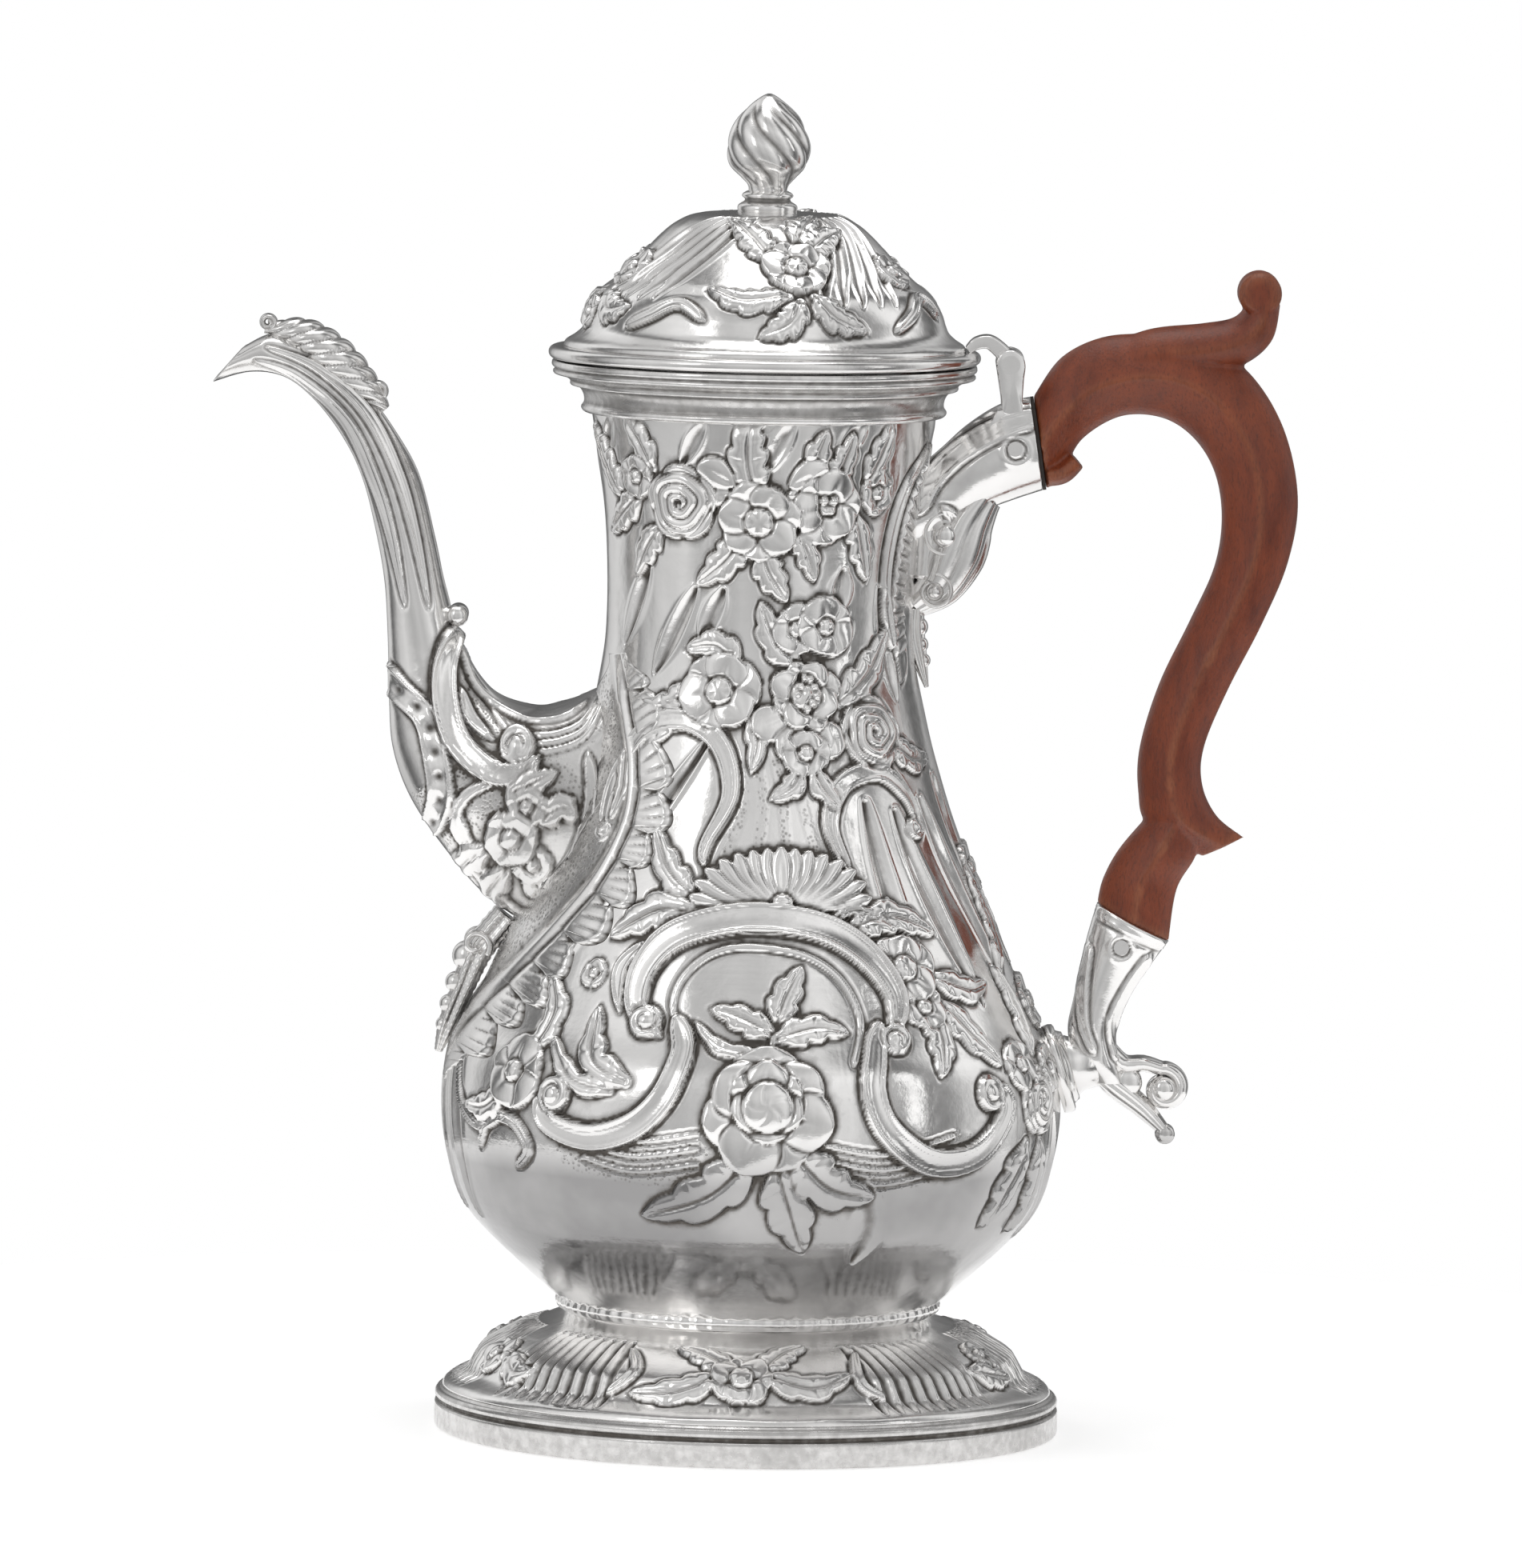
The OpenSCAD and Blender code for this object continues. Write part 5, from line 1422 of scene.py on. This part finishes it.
def build_upper():
    cup = [seat_edge(SEAT, SEAT_LEAN, -SEAT_HALF) + seat_edge(SEAT, SEAT_LEAN, SEAT_HALF)
           + (GRIP + 0.7,),
           (50.6, 189.2, 47.5, 208.4, GRIP + 0.5), (44.8, 186.8, 41, 204.2, GRIP - 0.5),
           (40, 183.5, 35.4, 199, GRIP - 1.9), (34, 180, 29.4, 194, GRIP - 2.4),
           (26, 178, 23, 190, GRIP - 2.6)]
    rings = loft(cup, 1.0, int(140 * fine), int(14 * fine))
    shown, dark, _ = raised(kept_out(rings), chase_upper())
    solid = Solid()
    solid.rings(shown, dark)
    solid.piece("upper_socket_cast", "pot", ["upper_socket"])
    path = [(44.4, 190, 4, 5), (40.6, 184.6, 6, 5.4), (38.2, 178, 6.6, 5.2),
            (35.6, 172, 5, 4.4), (31, 167.4, 2.6, 3.2)]

    def ribbed(t, a):
        return 1 + 0.16 * (np.abs(np.cos(4 * a + 0.8 * t)) ** 0.7 - 0.6)

    rings = kept_out(bar_rings(path, int(48 * fine), int(40 * fine), ribbed), 0.5)
    t = np.linspace(0, 1, len(rings))[:, None]
    a = around(rings.shape[1])[None]
    # Darker between the ribs: tarnish and painted shade.
    dark = np.clip(0.7 - 1.8 * np.abs(np.cos(4 * a + 0.8 * t)), 0, 1)
    solid = Solid()
    solid.rings(rings, dark)
    backing = [(33, 191, 3, 4), (33.4, 182, 3.6, 4.2), (32.8, 173, 3, 3.6)]
    solid.rings(kept_out(bar_rings(backing, int(40 * fine), 6), 0.5))
    for centre, r, turn in (((37, 182), 2.6, 1), ((35, 170.6), 1.8, -1)):
        solid.rings(disc_rings(centre, r, 6.4, 32, 1.4))
        curl = spiral(centre, r + 1.9, r + 0.4, 90, 90 + 330 * turn, 24)
        solid.rings(kept_out(curl_rings(curl, 0.7, 5.6), 0.5))
    solid.piece("upper_scroll_cast", "pot", ["upper_socket_scroll"])
    solid = Solid()
    path = [(31.2, 167, 1.6, 3.2), (31.2, 162, 1.8, 2.8), (32.2, 157, 1.4, 2), (33.8, 151, 0.4, 0.5)]
    solid.rings(kept_out(bar_rings(path, int(40 * fine), 12,
                                   lambda t, a: 1 + 0.13 * np.cos(6 * a)), 0.5))
    for x, z, r in ((31.8, 163.2, 2.1), (32.2, 159.6, 1.8), (33, 156.4, 1.5)):
        solid.rings(ball_rings((x, 0, z), r))
    solid.piece("upper_drop_cast", "pot", ["upper_socket_drop"])


def chase_lower():
    f = Side((58, 60), (92, 116), 0.25 / fine)
    start = np.array(seat_edge(FOOT_SEAT, FOOT_LEAN, -FOOT_HALF))
    end = np.array(seat_edge(FOOT_SEAT, FOOT_LEAN, FOOT_HALF))
    inward = -np.array([math.cos(math.radians(FOOT_LEAN)), math.sin(math.radians(FOOT_LEAN))])
    edge = [tuple(p + 1.2 * inward) for p in (start, (start + end) / 2, end)]
    band(f, edge, 2.4, 0.6, 0, 0.5)
    band(f, [(80, 98), (75.4, 91), (72.6, 84), (74, 76)], 2.4, 0.7, 0.2, 0.6)
    band(f, [(67.4, 100), (66.4, 92), (66.6, 84), (69, 78)], 2.2, 0.7, 0.2, 0.6)
    rivet(f, (74, 99.4), 1.7, 0.35)
    f.dark = recesses(f.high, f.gap)
    return f


def build_lower():
    front = seat_edge(FOOT_SEAT, FOOT_LEAN, -FOOT_HALF)
    back = seat_edge(FOOT_SEAT, FOOT_LEAN, FOOT_HALF)
    cup = [front + back + (GRIP - 0.2,), (80.6, 96.4, 67.2, 101.5, GRIP - 0.6),
           (77, 91.2, 65.8, 95, GRIP - 1.2), (74.6, 86, 64.6, 88.4, GRIP - 1.6),
           (73.4, 80.6, 63.6, 82.4, GRIP - 1.8), (74.8, 74.6, 65, 76, GRIP - 2.2),
           (75.4, 71.6, 68.6, 71.6, GRIP - 4)]
    rings = loft(cup, 1.0, int(120 * fine), int(12 * fine))
    shown, dark, _ = raised(rings, chase_lower())
    solid = Solid()
    solid.rings(shown, dark)
    centre, out = boss_place()
    profile = [(0.2, 2.4), (5.8, 2.4), (6.2, 3), (5.6, 4), (5.6, 9.6), (0.2, 9.8)]
    solid.rings(turned_about(profile, centre, out))
    solid.piece("lower_socket_cast", "pot", ["lower_socket"])
    profile = [(0.2, -1), (9, -1), (9.2, 0.4), (9, 1.2), (8.4, 1.5), (7.7, 1.5), (7.4, 1.9),
               (7, 2.7), (6.4, 2.8), (0.2, 2.8)]
    solid = Solid()
    solid.rings(turned_about(profile, centre, out))
    solid.piece("lower_boss_turned", "pot", ["lower_socket_boss"])
    solid = Solid()
    curl = spiral((83.2, 70.6), 4.2, 1.4, 100, -260, 24)
    volute_path = [(70, 80.4, 2, 3.4), (74.6, 75.6, 2, 3.2), (79, 75.6, 1.7, 3)]
    volute_path += [(p[0], p[1], 1.5, 2.8) for p in curl]
    solid.rings(bar_rings(volute_path, int(32 * fine), 4))
    solid.rings(disc_rings((83.2, 70.6), 2.5, 3.7, 32, 1.2))
    tail = [(70.4, 73, 1.6, 2.8), (73.6, 70.8, 2.2, 2.8), (78.8, 66.8, 1.9, 2.4),
            (83.2, 62.4, 1.2, 2)]
    solid.rings(bar_rings(tail, int(40 * fine), 18,
                          lambda t, a: 1 + 0.12 * np.abs(np.cos(3 * a))))
    solid.rings(disc_rings((83.6, 61.4), 2, 2.2, 32, 0.9))
    solid.rings(disc_rings((76, 71.8), 2.8, 2.6, 32, 0.8))
    solid.piece("lower_scroll_cast", "pot", ["lower_socket_scroll"])


def boss_place():
    """The middle of the lower boss on the body, and the way it points."""
    z = 74.2
    a = math.radians(16.7)
    return np.array([float(body_radius(z)), 0, z]), np.array([math.cos(a), 0, math.sin(a)])


def turned_about(profile, centre, out, sides=72):
    """Rings of a turned profile of (radius, height) about any axis."""
    across = np.array([0, 1, 0])
    up = np.cross(out, across)
    a = around(sides)
    return np.array([centre + h * out + r * (np.cos(a)[:, None] * across + np.sin(a)[:, None] * up)
                     for r, h in profile])


def smooth_outline(points, steps=5):
    """A closed smooth line through the points."""
    p = np.array(points, float)
    wrapped = np.vstack([p[-2:], p, p[:2]])
    return spline(wrapped, steps)[2 * steps:-(2 * steps) - steps]


def plate_rings(outline, y, half_y, round_edge=0.45):
    """A plate cut to an XZ outline, with softened edges."""
    middle = outline.mean(0)
    away = outline - middle
    away = away / np.linalg.norm(away, axis=1)[:, None]
    rows = []
    for place, inset in ((-half_y, round_edge), (-half_y + 0.3 * round_edge, 0.3 * round_edge),
                         (-half_y + round_edge, 0), (half_y - round_edge, 0),
                         (half_y - 0.3 * round_edge, 0.3 * round_edge), (half_y, round_edge)):
        edge = outline - inset * away
        rows.append(np.stack([edge[:, 0], np.full(len(edge), y + place), edge[:, 1]], 1))
    return np.array(rows)


def strap(points, halves, half_y):
    """A flat strap with rounded edges along (x, z) points."""
    p = np.asarray(points, float)
    left = left_of(p)
    a = around(40)
    u = np.sign(np.cos(a)) * np.abs(np.cos(a)) ** 0.25
    w = np.sign(np.sin(a)) * np.abs(np.sin(a)) ** 0.25
    return np.array([np.stack([q[0] + n[0] * h * u, half_y * w, q[1] + n[1] * h * u], 1)
                     for q, n, h in zip(p, left, halves)])


HINGE = (49.4, 216.7)


def build_hinge():
    """Two tapered ears, the bar they stand on and the lid's leaf."""
    x, z = HINGE
    ear = smooth_outline([(x - 2.95, z), (x - 2.1, z + 2.1), (x, z + 2.95), (x + 2.1, z + 2.1),
                          (x + 2.95, z), (x + 2.7, z - 3), (x + 2.5, z - 7), (x + 2.4, z - 10),
                          (x - 1.2, z - 10), (x - 1.8, z - 7), (x - 2.5, z - 3)])
    solid = Solid()
    for side in (1, -1):
        solid.rings(plate_rings(ear, side * 4.8, 1.5))
    solid.rings(plate_rings(np.array([(x - 4.4, z - 13), (x + 2.2, z - 13), (x + 2.4, z - 9.4),
                                      (x - 2.6, z - 9.2)]), 0, 6.2, 0.3))
    solid.piece("hinge_ears", "pot", ["hinge_bracket"])
    top = spline([(40.9, 219.2), (42.6, 220.6), (45, 220.9), (47.2, 219.4), (48.8, 217.6)], 8)
    share = np.linspace(0, 1, len(top))
    halves = np.interp(share, [0, 0.25, 0.6, 1], [0.8, 1.25, 1.5, 1.7])
    solid = Solid()
    solid.rings(strap(top, halves, 2.95))
    solid.rings(disc_rings(HINGE, 2.9, 2.95, 44, 0.4))
    solid.piece("hinge_leaf_filed", "lid", ["hinge_leaf"])


# ---------------------------------------------------------------- studio

TABLE_RADIUS = 0.3
TABLE_TOP = -0.0003


def build_floor():
    """A round pale table top; past its edge the white room goes on."""
    verts = [(TABLE_RADIUS * math.cos(a), TABLE_RADIUS * math.sin(a), TABLE_TOP)
             for a in around(96)]
    me = bpy.data.meshes.new("table_top")
    me.from_pydata(verts, [], [list(range(len(verts)))])
    floor = bpy.data.objects.new("table_top", me)
    bpy.context.scene.collection.objects.link(floor)
    mat, n, shader, coords = new_material("paper")
    tone = n.noise(coords, 60, 4)
    n.link(n.blend(tone, (0.86, 0.86, 0.86), (0.9, 0.9, 0.9)), shader.inputs["Base Color"])
    shader.inputs["Roughness"].default_value = 0.9
    shader.inputs["Emission Color"].default_value = (1, 1, 1, 1)
    shader.inputs["Emission Strength"].default_value = 0.5
    me.materials.append(mat)


def area_light(name, place, target, size, glow):
    """A soft box; glow is how bright its face looks."""
    data = bpy.data.lights.new(name, "AREA")
    data.shape = "RECTANGLE"
    data.size, data.size_y = size
    data.energy = glow * math.pi * size[0] * size[1]
    ob = bpy.data.objects.new(name, data)
    ob.location = place
    ob.rotation_euler = (Vector(target) - Vector(place)).to_track_quat("-Z", "Y").to_euler()
    bpy.context.scene.collection.objects.link(ob)


# What the silver mirrors: brightness by compass angle from the camera, in
# degrees towards +X, with softboxes at both sides and black flags beside them.
STUDIO_ROUND = [
    (-180, 0.12), (-166, 0.2), (-152, 0.7), (-130, 0.85), (-114, 0.12), (-102, 0.3), (-86, 0.68),
    (-60, 0.85), (-44, 0.66), (-28, 0.52), (-12, 0.66), (4, 0.58), (20, 0.72), (36, 0.9),
    (50, 0.5), (64, 0.12), (80, 0.3), (94, 0.85), (112, 0.9), (128, 0.25), (140, 0.08),
    (152, 0.6), (166, 0.24), (180, 0.12)]
STUDIO_UP = [(-90, 0.6), (-20, 0.66), (-4, 0.8), (8, 0.8), (30, 1.0), (55, 0.75), (75, 1.1),
             (90, 1.1)]


def build_light():
    """The room round the pot, and three soft boxes."""
    world = bpy.data.worlds.new("studio")
    bpy.context.scene.world = world
    n = Nodes(world)
    n.tree.nodes.clear()
    split = n.make("ShaderNodeSeparateXYZ")
    n.link(n.make("ShaderNodeTexCoord").outputs["Generated"], split.inputs["Vector"])
    toward = n.maths("MULTIPLY", split.outputs["Y"], -1.0)
    compass = n.maths("ARCTAN2", split.outputs["X"], toward)
    height = n.make("ShaderNodeMath", operation="ARCSINE")
    n.link(split.outputs["Z"], height.inputs[0])
    studio = n.make("ShaderNodeBackground", {"Strength": 1.12})
    n.link(n.maths("MULTIPLY", n.ramp(compass, STUDIO_ROUND),
                   n.ramp(height.outputs["Value"], STUDIO_UP)), studio.inputs["Color"])
    plain = n.make("ShaderNodeBackground", {"Color": (1, 1, 1, 1)})
    # The camera sees a plain white room, and the silver mirrors the studio.
    mix = n.make("ShaderNodeMixShader")
    n.link(n.make("ShaderNodeLightPath").outputs["Is Camera Ray"], mix.inputs["Fac"])
    n.link(studio.outputs["Background"], mix.inputs[1])
    n.link(plain.outputs["Background"], mix.inputs[2])
    n.link(mix.outputs["Shader"], n.make("ShaderNodeOutputWorld").inputs["Surface"])
    aim = (0, 0, 0.14)
    area_light("key", (-1.1, -1.2, 0.9), aim, (0.4, 0.9), 1.15)
    area_light("fill", (1.4, -0.7, 0.5), aim, (0.25, 1.2), 1.1)
    area_light("top", (0, 0.1, 1.5), aim, (0.8, 0.8), 1.6)


CAMERA_PLACE = Vector((0.0008, -3.0, 0.3966))
CAMERA_AIM = Vector((0.0008, 0, 0.1308))
CAMERA_ROLL = math.radians(1.04)
FOCAL_LENGTH = 353.4


def build_camera():
    """The photograph's view: from a little above, its right side tipped up a degree."""
    data = bpy.data.cameras.new("photo_view")
    data.sensor_fit = "HORIZONTAL"
    data.sensor_width = 36.0
    data.lens = FOCAL_LENGTH
    data.clip_start = 0.1
    data.clip_end = 50
    cam = bpy.data.objects.new("photo_view", data)
    bpy.context.scene.collection.objects.link(cam)
    back = (CAMERA_PLACE - CAMERA_AIM).normalized()
    right = Vector((0, 0, 1)).cross(back).normalized()
    up = back.cross(right)
    cos, sin = math.cos(CAMERA_ROLL), math.sin(CAMERA_ROLL)
    right, up = right * cos + up * sin, up * cos - right * sin
    cam.matrix_world = Matrix([(right[k], up[k], back[k], CAMERA_PLACE[k]) for k in range(3)]
                              + [(0, 0, 0, 1)])
    bpy.context.scene.camera = cam


build_body()
build_foot()
build_rim()
build_mouth()
build_lid()
build_finial()
build_spout()
build_crest()
build_frill()
build_drop()
build_handle()
build_cement()
build_upper()
build_lower()
build_hinge()

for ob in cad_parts.values():
    if not ob.hide_render:
        ob.data.materials.clear()
        ob.data.materials.append(LOOKS["silver"])

build_floor()
build_light()
build_camera()
bpy.context.scene.view_settings.view_transform = "Standard"
